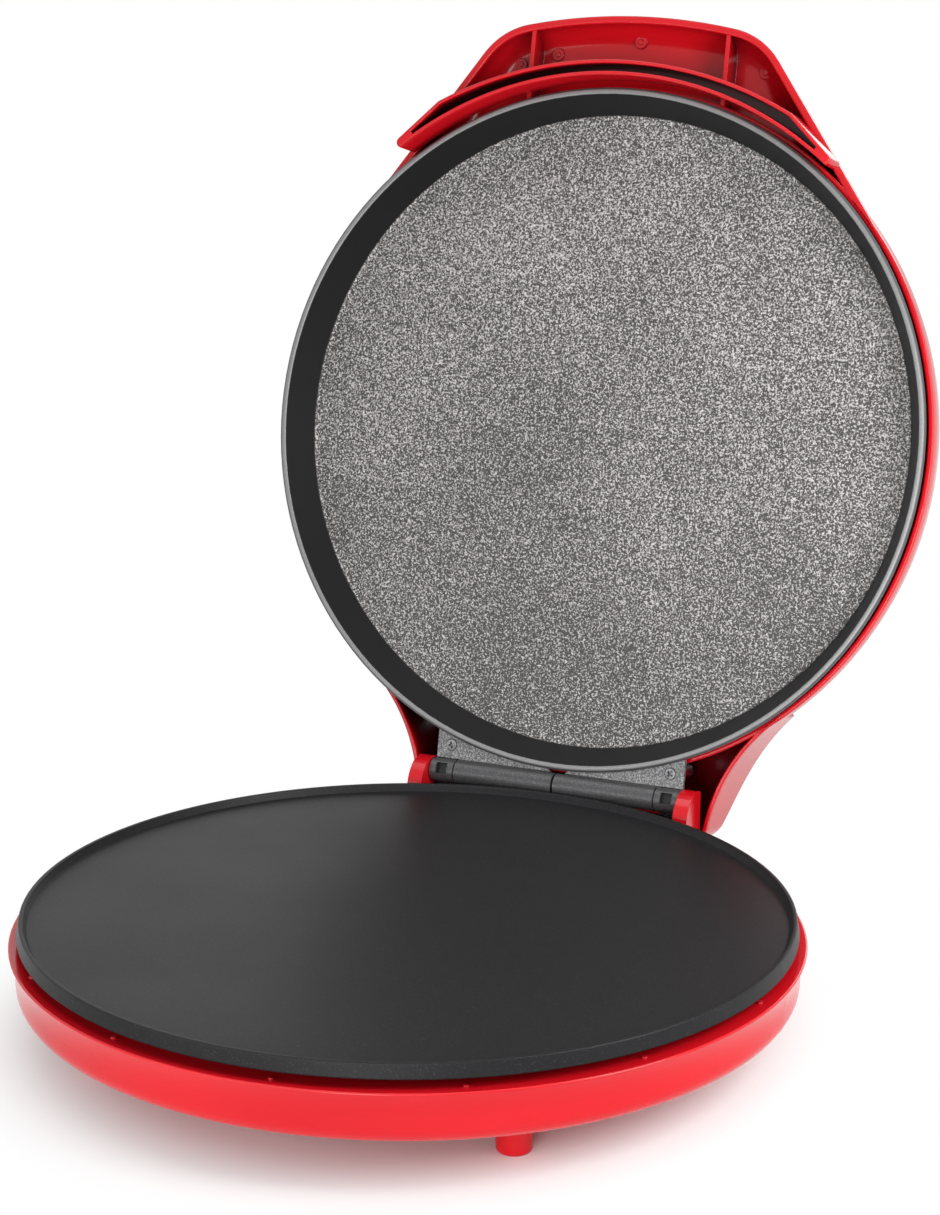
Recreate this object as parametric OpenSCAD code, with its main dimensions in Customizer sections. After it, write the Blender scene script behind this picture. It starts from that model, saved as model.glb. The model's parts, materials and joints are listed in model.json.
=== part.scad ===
// Electric pizza maker: a round base with a fixed pan, and a lid with a second pan on a rear hinge
// The model's origin is on the table, on the axis of the lower pan. The handle points along -Y.
// Lid pieces are drawn closed and then swung open about the hinge pin.

/* [Lower pan] */
// Outer diameter of the lower pan at its rim
pan_d = 320; // [300:1:340]
// How much the radius grows from the rim down to the bottom edge
pan_flare = 0.9; // [0.3:0.1:1.5]
// Height of the lower pan's edge
pan_edge_h = 6.1; // [5:0.1:9]
// Width of the flat rim
pan_rim_w = 2; // [1.5:0.1:4]
// Depth of the cooking surface below the rim
pan_recess = 3; // [1.5:0.1:3.5]
// Rounding of the pan's outer edges
pan_edge_r = 0.5; // [0.3:0.1:0.8]
// Clear height between the base's deck and the lower pan
pan_lift = 3.65; // [2.5:0.05:6]

/* [Lid pan] */
// How much smaller the lid pan's rim is, in radius
lid_pan_step = 0.3; // [0:0.1:1]
// Width of the lid pan's rim
lid_pan_rim_w = 3; // [2.5:0.1:4]
// Depth of the lid pan
lid_pan_depth = 18.4; // [14:0.1:20]
// Slope of the lid pan's wall from the vertical, in degrees
lid_pan_draft = 22.6; // [15:0.1:26]
// Plate thickness of the lid pan
lid_pan_t = 2.2; // [2:0.1:4]
// Fillet where the lid pan's wall meets its floor
lid_pan_fillet = 2; // [1:0.5:4]
// Gap between the two rims when the lid is closed
closed_gap = 0.4; // [0.3:0.1:1]

/* [Base] */
// Height of the feet
foot_h = 20.4; // [15:0.1:28]
// Diameter of a foot at its top
foot_d = 14.9; // [12:0.1:18]
// How much narrower a foot is at the table
foot_taper = 0.9; // [0:0.1:2]
// Distance of the front feet from the middle plane
front_foot_x = 86; // [70:1:92]
// Distance of the front feet in front of the pan's axis
front_foot_y = 95; // [80:1:100]
// Distance of the rear feet from the middle plane
rear_foot_x = 60; // [50:1:64]
// Distance of the rear feet behind the pan's axis
rear_foot_y = 130; // [110:1:132]
// Height of the base ring
ring_h = 21.85; // [20:0.05:30]
// How far the ring's crest stands out past the pan's rim
ring_margin = 4.35; // [3:0.05:6]
// How far the ring's waist lies inside its crest
ring_waist = 2.55; // [1.5:0.05:4]
// Height of the flared band below the crest
ring_flare_h = 11.5; // [8:0.1:12]
// Rounding of the ring's lower edge
ring_round = 6.5; // [4:0.1:7.5]
// Wall thickness of the base moulding
ring_wall = 2.4; // [2:0.1:3]
// Fall of the deck from the crest to its inner edge
deck_fall = 0.95; // [0:0.05:2]
// Thickness of the bottom cover
cover_t = 2; // [1.5:0.1:2.2]
// Number of air slots in the bottom cover
slot_count = 16; // [8:1:20]

/* [Hinge] */
// Angle of the lid from closed to fully open
open_angle = 102.27; // [90:0.01:105]
// Height of the hinge axis above the lower pan's rim
hinge_rise = 1.4; // [1:0.1:2]
// Outer diameter of the hinge barrels
barrel_d = 11.2; // [10:0.1:12]
// Gap between the lower pan and the barrels
barrel_gap = 0.3; // [0.3:0.05:2]
// Diameter of the hinge pin
pin_d = 5; // [4:0.1:6]
// Running gap round the hinge pin
pin_gap = 0.05; // [0.02:0.01:0.09]
// Distance of the lid barrels' outer ends from the middle plane
barrel_end = 50; // [45:0.5:52]
// Width of the slit between the two lid barrels
barrel_slit = 1.2; // [0.8:0.1:3]
// Length of each end knuckle on the base leaf
knuckle_l = 11.6; // [9:0.1:12]
// Side gap between neighbouring knuckles and ears
knuckle_gap = 0.6; // [0.4:0.1:1]
// Thickness of the ears that hold the pin's ends
ear_t = 7; // [5:0.1:7.2]
// Thickness of the base leaf
leaf_t = 1.5; // [1:0.1:2]
// Thickness of the lid leaf
plate_t = 2; // [1.5:0.1:2.5]
// Height of the lid leaf above the lid pan's rim plane
plate_rise = 3; // [2:0.1:3.2]
// Distance of the lid leaf's screws from its side edges
plate_screw_in = 6.9; // [6:0.1:8]
// Distance of the lid leaf's screws in front of the hinge axis
plate_screw_back = 12.2; // [11:0.1:13]

/* [Lid] */
// How far the lid's wall stands out past the lower pan's rim
lid_margin = 1.4; // [1:0.1:3]
// Thickness of the lid's wall
lid_wall = 2.5; // [2:0.1:3]
// Height of the lid's rim plane above the lid pan's rim
lid_rim_rise = 8.6; // [8:0.1:10]
// Height of the lid from its rim plane to its crown
lid_h = 41; // [38:0.5:52]
// Height of the upright part of the lid's wall
lid_upright = 9; // [4:0.5:12]
// Inward slope of the lid's wall above that, in degrees
lid_draft = 11; // [6:0.5:14]
// Rounding between the lid's wall and its top
lid_shoulder_r = 12; // [8:0.5:15]
// Rise of the domed top
lid_dome_rise = 5; // [3:0.5:8]

/* [Handle] */
// How far the handle reaches out from the lid's wall
handle_reach = 32.8; // [28:0.1:40]
// Radius of the handle's front edge seen from above
handle_front_r = 267; // [200:1:400]
// Direction in which the handle's sides leave the lid, in degrees
handle_side_angle = 35.5; // [33:0.5:38]
// Radius of the handle's corners seen from above
handle_corner_r = 35; // [25:1:40]
// Wall thickness of the handle
handle_wall = 3.5; // [2.5:0.1:4]
// Height of the handle's upright edge
handle_edge_h = 3; // [2:0.5:5]
// Rounding between the handle's edge and its top
handle_round = 14; // [10:0.5:17]
// Distance of the handle's ribs from the middle plane
rib_x = 48; // [40:1:54]
// Thickness of the handle's ribs
rib_t = 2; // [1.5:0.1:3]

/* [Visor] */
// Height of the visor's lower edge above the ring's crest when closed
visor_clear = 0.75; // [0.4:0.05:4]
// Gap between the lid's wall and the visor's inner wall
visor_gap = 2.5; // [2.2:0.1:3]
// Depth of the visor at its middle
visor_depth = 7.1; // [6.5:0.1:9]
// Radius of the visor's front wall
visor_front_r = 181.5; // [178:0.5:186]
// Thickness of the visor's walls
visor_wall = 1.8; // [1.4:0.1:2.2]
// Half of the angle that the visor spans
visor_half_angle = 38.7; // [36:0.1:39.5]
// Rounding of the visor's pointed ends
visor_nose_r = 2.6; // [2.3:0.1:3.2]
// Angle over which each end of the visor is solid
visor_solid_angle = 2.3; // [1:0.1:4]
// Thickness of the web that closes the visor's slot
visor_web = 2; // [1.5:0.1:3]

/* [Rear shroud] */
// Half width of the shroud that covers the hinge
shroud_half_w = 72.9; // [72.5:0.1:78]
// How far the shroud reaches behind the hinge axis
shroud_reach = 18.7; // [18:0.1:24]
// Radius of the hollow curve from the lid's wall to the shroud
shroud_fillet = 85; // [70:1:95]
// Wall thickness of the shroud
shroud_wall = 2; // [1.5:0.1:2.1]
// Radius of the shroud's rear corners
shroud_corner = 8; // [5:0.5:10]
// Radius of the shroud's rolled back
shroud_roll = 34; // [30:1:36]

/* [Heating] */
// Diameter of the tubular heating elements
element_d = 6.5; // [6:0.1:7]
// Radius of the heating rings
element_r = 95; // [85:1:105]
// Thickness of the reflector sheets
sheet_t = 0.8; // [0.5:0.1:1.2]
// Thickness of the straps that hold the elements
strap_t = 1.2; // [0.8:0.1:1.5]
// Radius on which the pans' screw bosses stand
boss_ring_r = 62; // [50:1:70]
// Diameter of the thermostat
thermostat_d = 18; // [15:0.5:20]

/* [Fasteners] */
// Shank diameter of the screws
screw_d = 3; // [2.5:0.1:3.2]
// Head diameter of the screws
head_d = 6; // [5:0.1:6.4]
// Head height of the screws
head_h = 1.8; // [1.2:0.1:2]
// Gap between a shank or spigot and its hole
hole_gap = 0.05; // [0.02:0.01:0.1]
// Bore of the cord outlet
cord_bore_d = 6.4; // [5:0.1:7]

/* [Hidden] */
$fn = 128;
bite = 0.01;
sheet_gap = 0.3;

pan_r = pan_d / 2;
pan_edge_max_r = pan_r + pan_flare;
crest_z = foot_h + ring_h;
pan_z0 = crest_z + pan_lift;
pan_z1 = pan_z0 + pan_edge_h;
pan_inner_draft = 1.5;
pan_lip_r = 0.6;

crest_r = pan_r + ring_margin;
crest_edge_r = 0.7;
waist_r = crest_r - ring_waist;
flare_z0 = crest_z - crest_edge_r - ring_flare_h;
flare_r = (pow(ring_waist, 2) + pow(ring_flare_h, 2)) / (2 * ring_waist);
flare_angle = asin(ring_flare_h / flare_r);
lip_r = waist_r - ring_round;
deck_t = 2.2;
deck_inner_z = crest_z - deck_fall;
collar_inset = 12;
collar_r = pan_r - collar_inset;
collar_t = 2.2;
ledge_w = 9;
ledge_t = 2;
ledge_drop = 6.25;
ledge_z = crest_z - ledge_drop;
pip_count = 14;
pip_inset = 6;
pip_r = 1.1;
pip_h = 0.35;

cover_z1 = foot_h + cover_t;
cover_r = lip_r - sheet_gap;
post_r = 4;
post_shift = 1;
post_ring_r = collar_r - ledge_w / 2 + post_shift;
post_count = 6;
cover_slot_w = 3;
cover_slot_l = 26;
cover_slot_ring_r = 70;
cover_rib_inset = 15;
cover_rib_w = 1.8;
cover_rib_h = 2.5;
spigot_r = 4;
spigot_top_gap = 1.5;
toe_round = 1.5;
foot_places = [[front_foot_x, -front_foot_y], [-front_foot_x, -front_foot_y],
    [rear_foot_x, rear_foot_y], [-rear_foot_x, rear_foot_y]];

screw_r = screw_d / 2;
hole_r = screw_r + hole_gap;
head_r = head_d / 2;
grip_l = 8;

reflector_drop = 5;
reflector_r = collar_r - sheet_gap;
reflector_slope_w = 9;
reflector_floor_r = reflector_r - ledge_w - reflector_slope_w;
reflector_floor_z = ledge_z - reflector_drop;
reflector_screw_r = collar_r - ledge_w / 2;
reflector_screw_count = 4;
element_gap = 0.1;
element_tube_r = element_d / 2;
element_axis = element_tube_r + element_gap;
element_sweep = 320;
element_pin_r = 1.2;
element_pin_l = 8;
strap_w = 12;
strap_foot = 10;
strap_bore_r = element_tube_r + element_gap;
strap_count = 3;
strap_screw_d = strap_bore_r + strap_t + strap_foot / 2;
strap_screw_depth = 1.4;
boss_count = 3;
boss_r = 6;
lower_boss_h = pan_z0 - reflector_floor_z - sheet_t;
thermostat_h = 6;
thermostat_flange_w = 3;
thermostat_flange_t = 1;
blade_x = 4;
blade_w = 4;
blade_t = 0.8;
blade_l = 3;
terminal_w = 30;
terminal_l = 15;
terminal_h = 6.4;
terminal_inset = 48;
terminal_pitch = 10;
terminal_hole_r = 1.7;
terminal_screw_r = 1.5;

hinge_y = pan_edge_max_r + barrel_gap + barrel_d / 2;
hinge_z = pan_z1 + hinge_rise;
barrel_r = barrel_d / 2;
pin_r = pin_d / 2;
pin_hole_r = pin_r + pin_gap;
knuckle_in = barrel_end + knuckle_gap;
knuckle_out = knuckle_in + knuckle_l;
ear_in = knuckle_out + knuckle_gap;
ear_out = ear_in + ear_t;
ear_proud = 0.6;
ear_r = barrel_r + ear_proud;
ear_skin = 1.8;
ear_lean = 1;
ear_front_r = 13.6;
pin_half = ear_out - ear_skin;
block_drop = 4.25;
block_rise = 0.75;
block_z0 = crest_z - block_drop;
block_z1 = crest_z + block_rise;
block_depth = 40;
leaf_half = knuckle_out;
leaf_reach = 10;
leaf_front = hinge_y - leaf_reach;
leaf_back = hinge_y + barrel_r;
leaf_screw_x = 30;
leaf_screw_back = 2;
leaf_screw_y = hinge_y - leaf_screw_back;
window_w = 5.6;
window_h = 5.2;
window_depth = 3;
window_tilt = 28;
wing_gap = 0.2;
plate_root = 0.6;
notch_half = 5.2;

lid_pan_r = pan_r - lid_pan_step;
lid_z0 = pan_z1 + closed_gap;
lid_floor_z = lid_z0 + lid_pan_depth;
lid_pan_z1 = lid_floor_z + lid_pan_t;
lid_pan_inner_r = lid_pan_r - lid_pan_rim_w;
lid_pan_floor_r = lid_pan_inner_r - lid_pan_depth * tan(lid_pan_draft);
lid_pan_shift = lid_pan_t / cos(lid_pan_draft);
lid_pan_top_r = lid_pan_inner_r + lid_pan_shift - (lid_pan_depth + lid_pan_t) * tan(lid_pan_draft);
lid_pan_land = 1.4;
lid_pan_bevel = 0.5;
lid_pan_rim_r = 1.8;
lid_pan_rim_a = 18;
lid_pan_lip_r = 1.1;

lid_r = pan_r + lid_margin;
lid_rim_z = lid_z0 + lid_rim_rise;
crown_z = lid_rim_z + lid_h;
tuck = 0.4;
tab_x = 34;
tab_w = 5;
tab_h = 2;
tab_out = 1.4;

upper_reflector_rise = 12.2;
upper_reflector_gap = 4;
upper_reflector_drop = 4;
upper_rim_w = 20;
upper_slope_w = 6;
upper_post_inset = 8;
upper_reflector_z = lid_pan_z1 + upper_reflector_rise;
upper_reflector_r = lid_pan_top_r - upper_reflector_gap;
upper_floor_r = upper_reflector_r - upper_rim_w;
upper_floor_z = upper_reflector_z - upper_reflector_drop;
upper_post_ring_r = upper_reflector_r - upper_post_inset;
upper_post_r = 4.5;
upper_post_count = 4;

plate_z0 = lid_z0 + plate_rise;
plate_half = knuckle_out - wing_gap;
plate_gap = 0.5;
plate_front_r = lid_pan_inner_r + lid_pan_shift - plate_rise * tan(lid_pan_draft) + plate_gap;
plate_bridge = 1;
plate_screw_x = plate_half - plate_screw_in;
plate_screw_y = hinge_y - plate_screw_back;
plate_post_r = 4.2;
plate_post_h = 20.5;
countersink_h = 1.5;

handle_front_y = -(lid_r + handle_reach);
handle_top_z = lid_rim_z + handle_edge_h + handle_round;
handle_side_d = lid_r - tuck;
handle_root = 12;
visor_z0 = crest_z + visor_clear;
visor_inner_r = lid_r + visor_gap;
visor_front_y = -(visor_inner_r + visor_depth);
visor_nose_tuck = 1;
visor_nose_ring_r = visor_inner_r + visor_nose_r - visor_nose_tuck;
visor_nose_turn = 5;
visor_face_l = 60;
shroud_roll_rise = 5;

gland_angle = 122;
gland_drop = 11.25;
gland_z = crest_z - gland_drop;
gland_boss_proud = 1.7;
gland_face_r = waist_r + gland_boss_proud;
gland_boss_r = 8.4;
gland_wall = 1.8;
gland_barrel_r = cord_bore_d / 2 + gland_wall;
gland_flange_w = 2.4;
gland_flange_r = gland_barrel_r + gland_flange_w;
gland_flange_t = 2.2;
gland_l = 9;

red = [0.80, 0.04, 0.09];
pan_black = [0.17, 0.17, 0.18];
lid_pan_grey = [0.36, 0.35, 0.35];
steel_dark = [0.30, 0.30, 0.31];
sheet_grey = [0.75, 0.76, 0.78];
screw_grey = [0.55, 0.56, 0.58];

// Points of an arc about a centre, from one angle to another
function arc(c, r, a0, a1, n) =
    [for (i = [0:n]) c + r * [cos(a0 + (a1 - a0) * i / n), sin(a0 + (a1 - a0) * i / n)]];

// The same list of points in the opposite order
function backwards(list) = [for (i = [len(list) - 1:-1:0]) list[i]];

// A list of points followed by its mirror image in the Y axis
function both_sides(list) =
    concat(list, [for (p = backwards(list)) if (abs(p[0]) > bite) [-p[0], p[1]]]);

// The flared band's points on a surface set in from the outside
function flare_points(inset, top_z, n) =
    let (a1 = asin((top_z - flare_z0) / (flare_r + inset)))
    arc([waist_r + flare_r, flare_z0], flare_r + inset, 180, 180 - a1, n);

// Swings pieces of the lid open about the hinge pin
module swung_open() {
    translate([0, hinge_y, hinge_z])
        rotate([-open_angle, 0, 0])
            translate([0, -hinge_y, -hinge_z])
                children();
}

// Copies children evenly round the Z axis
module ring_of(count, r, first = 0) {
    for (i = [0:count - 1])
        rotate([0, 0, first + 360 * i / count])
            translate([r, 0, 0])
                children();
}

// Screw with its head at the bottom and its shank pointing up from z = 0
module pan_head_screw(shank_l) {
    cylinder(r = screw_r, h = shank_l);
    translate([0, 0, -head_h])
        rotate_extrude()
            polygon(concat([[0, 0]], arc([head_r - head_h / 2, head_h / 2], head_h / 2, -90, 0, 4),
                [[head_r, head_h], [0, head_h]]));
}

// Tube along X between two distances from the middle plane
module tube_x(x0, x1, r_out, r_in) {
    translate([x0, hinge_y, hinge_z])
        rotate([0, 90, 0])
            difference() {
                cylinder(r = r_out, h = x1 - x0);
                translate([0, 0, -1])
                    cylinder(r = r_in, h = x1 - x0 + 2);
            }
}

// Section of the base moulding: bowed wall, deck, collar and the ledge for the reflector
module ring_section() {
    inner_r = ring_round - ring_wall;
    polygon(concat(
        arc([lip_r, foot_h + ring_round], ring_round, -90, 0, 8),
        flare_points(0, crest_z - crest_edge_r, 6),
        arc([crest_r - crest_edge_r, crest_z - crest_edge_r], crest_edge_r, 15, 90, 3),
        [[collar_r, deck_inner_z], [collar_r, ledge_z], [collar_r - ledge_w, ledge_z],
            [collar_r - ledge_w, ledge_z - ledge_t], [collar_r + collar_t, ledge_z - ledge_t],
            [collar_r + collar_t, deck_inner_z - deck_t]],
        backwards(flare_points(ring_wall, crest_z - deck_t, 5)),
        arc([lip_r, foot_h + ring_round], inner_r, 0, -90, 6)));
}

// Ear that stands round the end of the pin, with a long rounded front
module ear() {
    front_y = hinge_y - ear_lean - ear_front_r;
    top_z = hinge_z + ear_r;
    intersection() {
        translate([0, front_y, block_z0])
            cube([ear_t, hinge_y + ear_r - front_y, top_z - block_z0]);
        union() {
            translate([0, hinge_y - ear_lean, top_z - ear_front_r])
                rotate([0, 90, 0])
                    cylinder(r = ear_front_r, h = ear_t);
            translate([0, front_y, block_z0])
                cube([ear_t, hinge_y + ear_r - front_y, top_z - ear_front_r - block_z0]);
        }
    }
}

module hinge_block() {
    difference() {
        translate([-ear_out, hinge_y - block_depth, block_z0])
            cube([2 * ear_out, block_depth + ear_r, block_z1 - block_z0]);
        translate([0, 0, block_z0 - 1])
            cylinder(r = collar_r + collar_t / 2, h = block_z1 - block_z0 + 2);
    }
    for (side = [0, 1])
        mirror([side, 0, 0])
            translate([ear_in, 0, 0])
                ear();
}

module at_gland() {
    rotate([0, 0, gland_angle])
        translate([0, 0, gland_z])
            rotate([0, 90, 0])
                children();
}

module base_housing() {
    color(red)
    difference() {
        union() {
            rotate_extrude()
                ring_section();
            hinge_block();
            ring_of(post_count, post_ring_r, 30)
                translate([0, 0, cover_z1])
                    cylinder(r = post_r, h = ledge_z - ledge_t / 2 - cover_z1);
            ring_of(reflector_screw_count, reflector_screw_r, 15)
                translate([0, 0, ledge_z - grip_l])
                    cylinder(r = post_r, h = grip_l - ledge_t / 2);
            ring_of(pip_count, crest_r - pip_inset, -135.5)
                translate([0, 0, crest_z - deck_fall])
                    cylinder(r = pip_r, h = deck_fall + pip_h);
            at_gland()
                translate([0, 0, waist_r - ring_wall - 1])
                    cylinder(r = gland_boss_r, h = gland_face_r - waist_r + ring_wall + 1);
        }
        ring_of(post_count, post_ring_r, 30)
            translate([0, 0, cover_z1 - 1])
                cylinder(r = hole_r, h = grip_l + 1);
        ring_of(reflector_screw_count, reflector_screw_r, 15)
            translate([0, 0, ledge_z - grip_l - 1])
                cylinder(r = hole_r, h = grip_l + 2);
        translate([-pin_half - pin_gap, hinge_y, hinge_z])
            rotate([0, 90, 0])
                cylinder(r = pin_hole_r, h = 2 * (pin_half + pin_gap));
        for (side = [-1, 1])
            translate([side * leaf_screw_x, leaf_screw_y, block_z0 - 1])
                cylinder(r = hole_r, h = block_z1 - block_z0 + 2);
        at_gland()
            translate([0, 0, waist_r - 10])
                cylinder(r = gland_barrel_r + hole_gap, h = 20);
    }
}

module base_cover() {
    color(red)
    difference() {
        union() {
            translate([0, 0, foot_h])
                cylinder(r = cover_r, h = cover_t);
            translate([0, 0, cover_z1 - bite])
                rotate_extrude()
                    translate([collar_r - cover_rib_inset, 0])
                        square([cover_rib_w, cover_rib_h]);
        }
        ring_of(slot_count, cover_slot_ring_r)
            translate([0, 0, foot_h - 1])
                linear_extrude(cover_t + 2)
                    union() {
                        translate([0, -cover_slot_w / 2])
                            square([cover_slot_l, cover_slot_w]);
                        circle(d = cover_slot_w);
                        translate([cover_slot_l, 0])
                            circle(d = cover_slot_w);
                    }
        for (p = foot_places)
            translate([p[0], p[1], foot_h - 1])
                cylinder(r = spigot_r + hole_gap, h = cover_t + cover_rib_h + 2);
        ring_of(post_count, post_ring_r, 30)
            translate([0, 0, foot_h - 1])
                cylinder(r = hole_r, h = cover_t + 2);
    }
}

module feet() {
    foot_r = foot_d / 2;
    toe_r = foot_r - foot_taper / 2;
    color(red)
    for (p = foot_places)
        translate([p[0], p[1], 0])
            rotate_extrude()
                polygon(concat([[0, 0]], arc([toe_r - toe_round, toe_round], toe_round, -90, 0, 6),
                    [[foot_r, foot_h], [spigot_r, foot_h], [spigot_r, cover_z1 + spigot_top_gap],
                        [0, cover_z1 + spigot_top_gap]]));
}

module cover_screws() {
    color(screw_grey)
    ring_of(post_count, post_ring_r, 30)
        translate([0, 0, foot_h])
            pan_head_screw(cover_t + grip_l - 1);
}

// Bosses under or above a pan, drilled for their screws, with z = 0 on the pan's back face
module pan_bosses(h) {
    ring_of(boss_count, boss_ring_r, 30)
        translate([0, 0, -bite])
            cylinder(r = boss_r, h = h + bite);
}

module pan_boss_holes(h) {
    ring_of(boss_count, boss_ring_r, 30)
        translate([0, 0, h - grip_l])
            cylinder(r = hole_r, h = grip_l + 1);
}

module lower_pan() {
    inner_r = pan_r - pan_rim_w;
    color(pan_black)
    difference() {
        union() {
            rotate_extrude()
                polygon(concat([[0, pan_z0]],
                    arc([pan_edge_max_r - pan_edge_r, pan_z0 + pan_edge_r], pan_edge_r, -90, 0, 3),
                    arc([pan_r - pan_edge_r, pan_z1 - pan_edge_r], pan_edge_r, 5, 90, 4),
                    arc([inner_r + pan_lip_r, pan_z1 - pan_lip_r], pan_lip_r, 90, 180, 3),
                    [[inner_r - pan_inner_draft, pan_z1 - pan_recess], [0, pan_z1 - pan_recess]]));
            translate([0, 0, pan_z0])
                mirror([0, 0, 1])
                    pan_bosses(lower_boss_h);
        }
        translate([0, 0, pan_z0])
            mirror([0, 0, 1]) {
                pan_boss_holes(lower_boss_h);
                strap_screw_holes();
            }
    }
}

module lower_reflector() {
    floor_z = reflector_floor_z;
    color(sheet_grey)
    difference() {
        rotate_extrude()
            polygon([[0, floor_z], [reflector_floor_r, floor_z],
                [reflector_r - ledge_w, ledge_z], [reflector_r, ledge_z],
                [reflector_r, ledge_z + sheet_t], [reflector_r - ledge_w - sheet_t / 2, ledge_z + sheet_t],
                [reflector_floor_r - sheet_t / 2, floor_z + sheet_t], [0, floor_z + sheet_t]]);
        ring_of(boss_count, boss_ring_r, 30)
            translate([0, 0, floor_z - 1])
                cylinder(r = hole_r, h = sheet_t + 2);
        ring_of(reflector_screw_count, reflector_screw_r, 15)
            translate([0, 0, ledge_z - 1])
                cylinder(r = hole_r, h = sheet_t + 2);
    }
}

module lower_reflector_screws() {
    color(screw_grey)
    ring_of(reflector_screw_count, reflector_screw_r, 15)
        translate([0, 0, ledge_z + sheet_t])
            mirror([0, 0, 1])
                pan_head_screw(grip_l - 1);
}

module lower_pan_screws() {
    color(screw_grey)
    translate([0, 0, reflector_floor_z])
        ring_of(boss_count, boss_ring_r, 30)
            pan_head_screw(grip_l - 1);
}

// Open heating ring whose ends turn into thin terminals, with z = 0 on the pan's back face
module element_ring() {
    start = 90 + (360 - element_sweep) / 2;
    translate([0, 0, element_axis]) {
        rotate([0, 0, start])
            rotate_extrude(angle = element_sweep)
                translate([element_r, 0])
                    circle(r = element_tube_r);
        for (side = [0, 1])
            mirror([side, 0, 0])
                rotate([0, 0, start])
                    translate([element_r, bite, 0])
                        rotate([90, 0, 0])
                            cylinder(r = element_pin_r, h = element_pin_l);
    }
}

// Section of a strap that arches over the heating tube
module strap_section() {
    outer_r = strap_bore_r + strap_t;
    difference() {
        union() {
            translate([0, element_axis])
                circle(r = outer_r);
            translate([-outer_r, 0])
                square([2 * outer_r, element_axis]);
            translate([-outer_r - strap_foot, 0])
                square([2 * (outer_r + strap_foot), strap_t]);
        }
        translate([0, element_axis])
            circle(r = strap_bore_r);
        translate([-strap_bore_r, 0])
            square([2 * strap_bore_r, element_axis]);
        translate([-outer_r, -outer_r])
            square([2 * outer_r, outer_r]);
    }
}

module element_straps() {
    ring_of(strap_count, element_r, -90)
        difference() {
            translate([0, strap_w / 2, 0])
                rotate([90, 0, 0])
                    linear_extrude(strap_w)
                        strap_section();
            for (x = [-strap_screw_d, strap_screw_d])
                translate([x, 0, -1])
                    cylinder(r = hole_r, h = strap_t + 2);
        }
}

module strap_screws() {
    ring_of(strap_count, element_r, -90)
        for (x = [-strap_screw_d, strap_screw_d])
            translate([x, 0, strap_t])
                mirror([0, 0, 1])
                    pan_head_screw(strap_t + strap_screw_depth - 0.2);
}

module strap_screw_holes() {
    ring_of(strap_count, element_r, -90)
        for (x = [-strap_screw_d, strap_screw_d])
            translate([x, 0, -strap_screw_depth])
                cylinder(r = hole_r, h = strap_screw_depth + 1);
}

module on_lower_pan_back() {
    translate([0, 0, pan_z0])
        mirror([0, 0, 1])
            children();
}

module lower_element() {
    color(steel_dark)
    on_lower_pan_back()
        element_ring();
}

module lower_straps() {
    color(sheet_grey)
    on_lower_pan_back()
        element_straps();
}

module lower_strap_screws() {
    color(screw_grey)
    on_lower_pan_back()
        strap_screws();
}

// Snap disc thermostat with its mounting flange and two blade terminals
module thermostat() {
    body_r = thermostat_d / 2;
    color("ivory")
    on_lower_pan_back() {
        cylinder(r = body_r + thermostat_flange_w, h = thermostat_flange_t);
        cylinder(r = body_r, h = thermostat_h);
        for (side = [-1, 1])
            translate([side * blade_x - blade_w / 2, -blade_t / 2, thermostat_h - bite])
                cube([blade_w, blade_t, blade_l]);
    }
}

// Block of three terminals, each with a wire bore and the well of its screw
module terminal_block() {
    color("ivory")
    rotate([0, 0, gland_angle])
        translate([collar_r - terminal_inset, 0, cover_z1])
            difference() {
                translate([0, -terminal_w / 2, 0])
                    cube([terminal_l, terminal_w, terminal_h]);
                for (i = [-1:1])
                    translate([0, i * terminal_pitch, terminal_h / 2]) {
                        translate([-1, 0, 0])
                            rotate([0, 90, 0])
                                cylinder(r = terminal_hole_r, h = terminal_l + 2);
                        translate([terminal_l / 2, 0, 0])
                            cylinder(r = terminal_screw_r, h = terminal_h);
                    }
            }
}

module cord_gland() {
    color([0.1, 0.1, 0.1])
    at_gland()
        translate([0, 0, gland_face_r])
            difference() {
                union() {
                    translate([0, 0, -gland_l])
                        cylinder(r = gland_barrel_r, h = gland_l + bite);
                    cylinder(r = gland_flange_r, h = gland_flange_t);
                }
                translate([0, 0, -gland_l - 1])
                    cylinder(d = cord_bore_d, h = gland_l + gland_flange_t + 2);
            }
}

module hinge_base_leaf() {
    color(steel_dark)
    difference() {
        union() {
            translate([-leaf_half, leaf_front, block_z1])
                cube([2 * leaf_half, leaf_back - leaf_front, leaf_t]);
            for (side = [0, 1])
                mirror([side, 0, 0]) {
                    translate([knuckle_in, leaf_back - leaf_t, block_z1])
                        cube([knuckle_l, leaf_t, hinge_z - block_z1]);
                    tube_x(knuckle_in, knuckle_out, barrel_r, pin_hole_r);
                }
        }
        translate([-leaf_half - 1, hinge_y, hinge_z])
            rotate([0, 90, 0])
                cylinder(r = pin_hole_r, h = 2 * leaf_half + 2);
        for (side = [-1, 1])
            translate([side * (knuckle_in + knuckle_l / 2), hinge_y, hinge_z])
                rotate([-window_tilt, 0, 0])
                    translate([-window_w / 2, -barrel_r - 1, -window_h / 2])
                        cube([window_w, window_depth + 1, window_h]);
        for (side = [-1, 1])
            translate([side * leaf_screw_x, leaf_screw_y, block_z1])
                countersunk_hole(leaf_t);
    }
}

// Hole through a sheet with its cone opening upward
module countersunk_hole(t) {
    translate([0, 0, -1])
        cylinder(r = hole_r, h = t + 2);
    translate([0, 0, t - countersink_h])
        cylinder(r1 = hole_r, r2 = head_r + hole_gap, h = countersink_h);
}

// Countersunk screw hanging down from a face at z = 0
module countersunk_screw(shank_l) {
    translate([0, 0, -shank_l])
        cylinder(r = screw_r, h = shank_l);
    translate([0, 0, -countersink_h])
        cylinder(r1 = screw_r, r2 = head_r, h = countersink_h);
}

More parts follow.
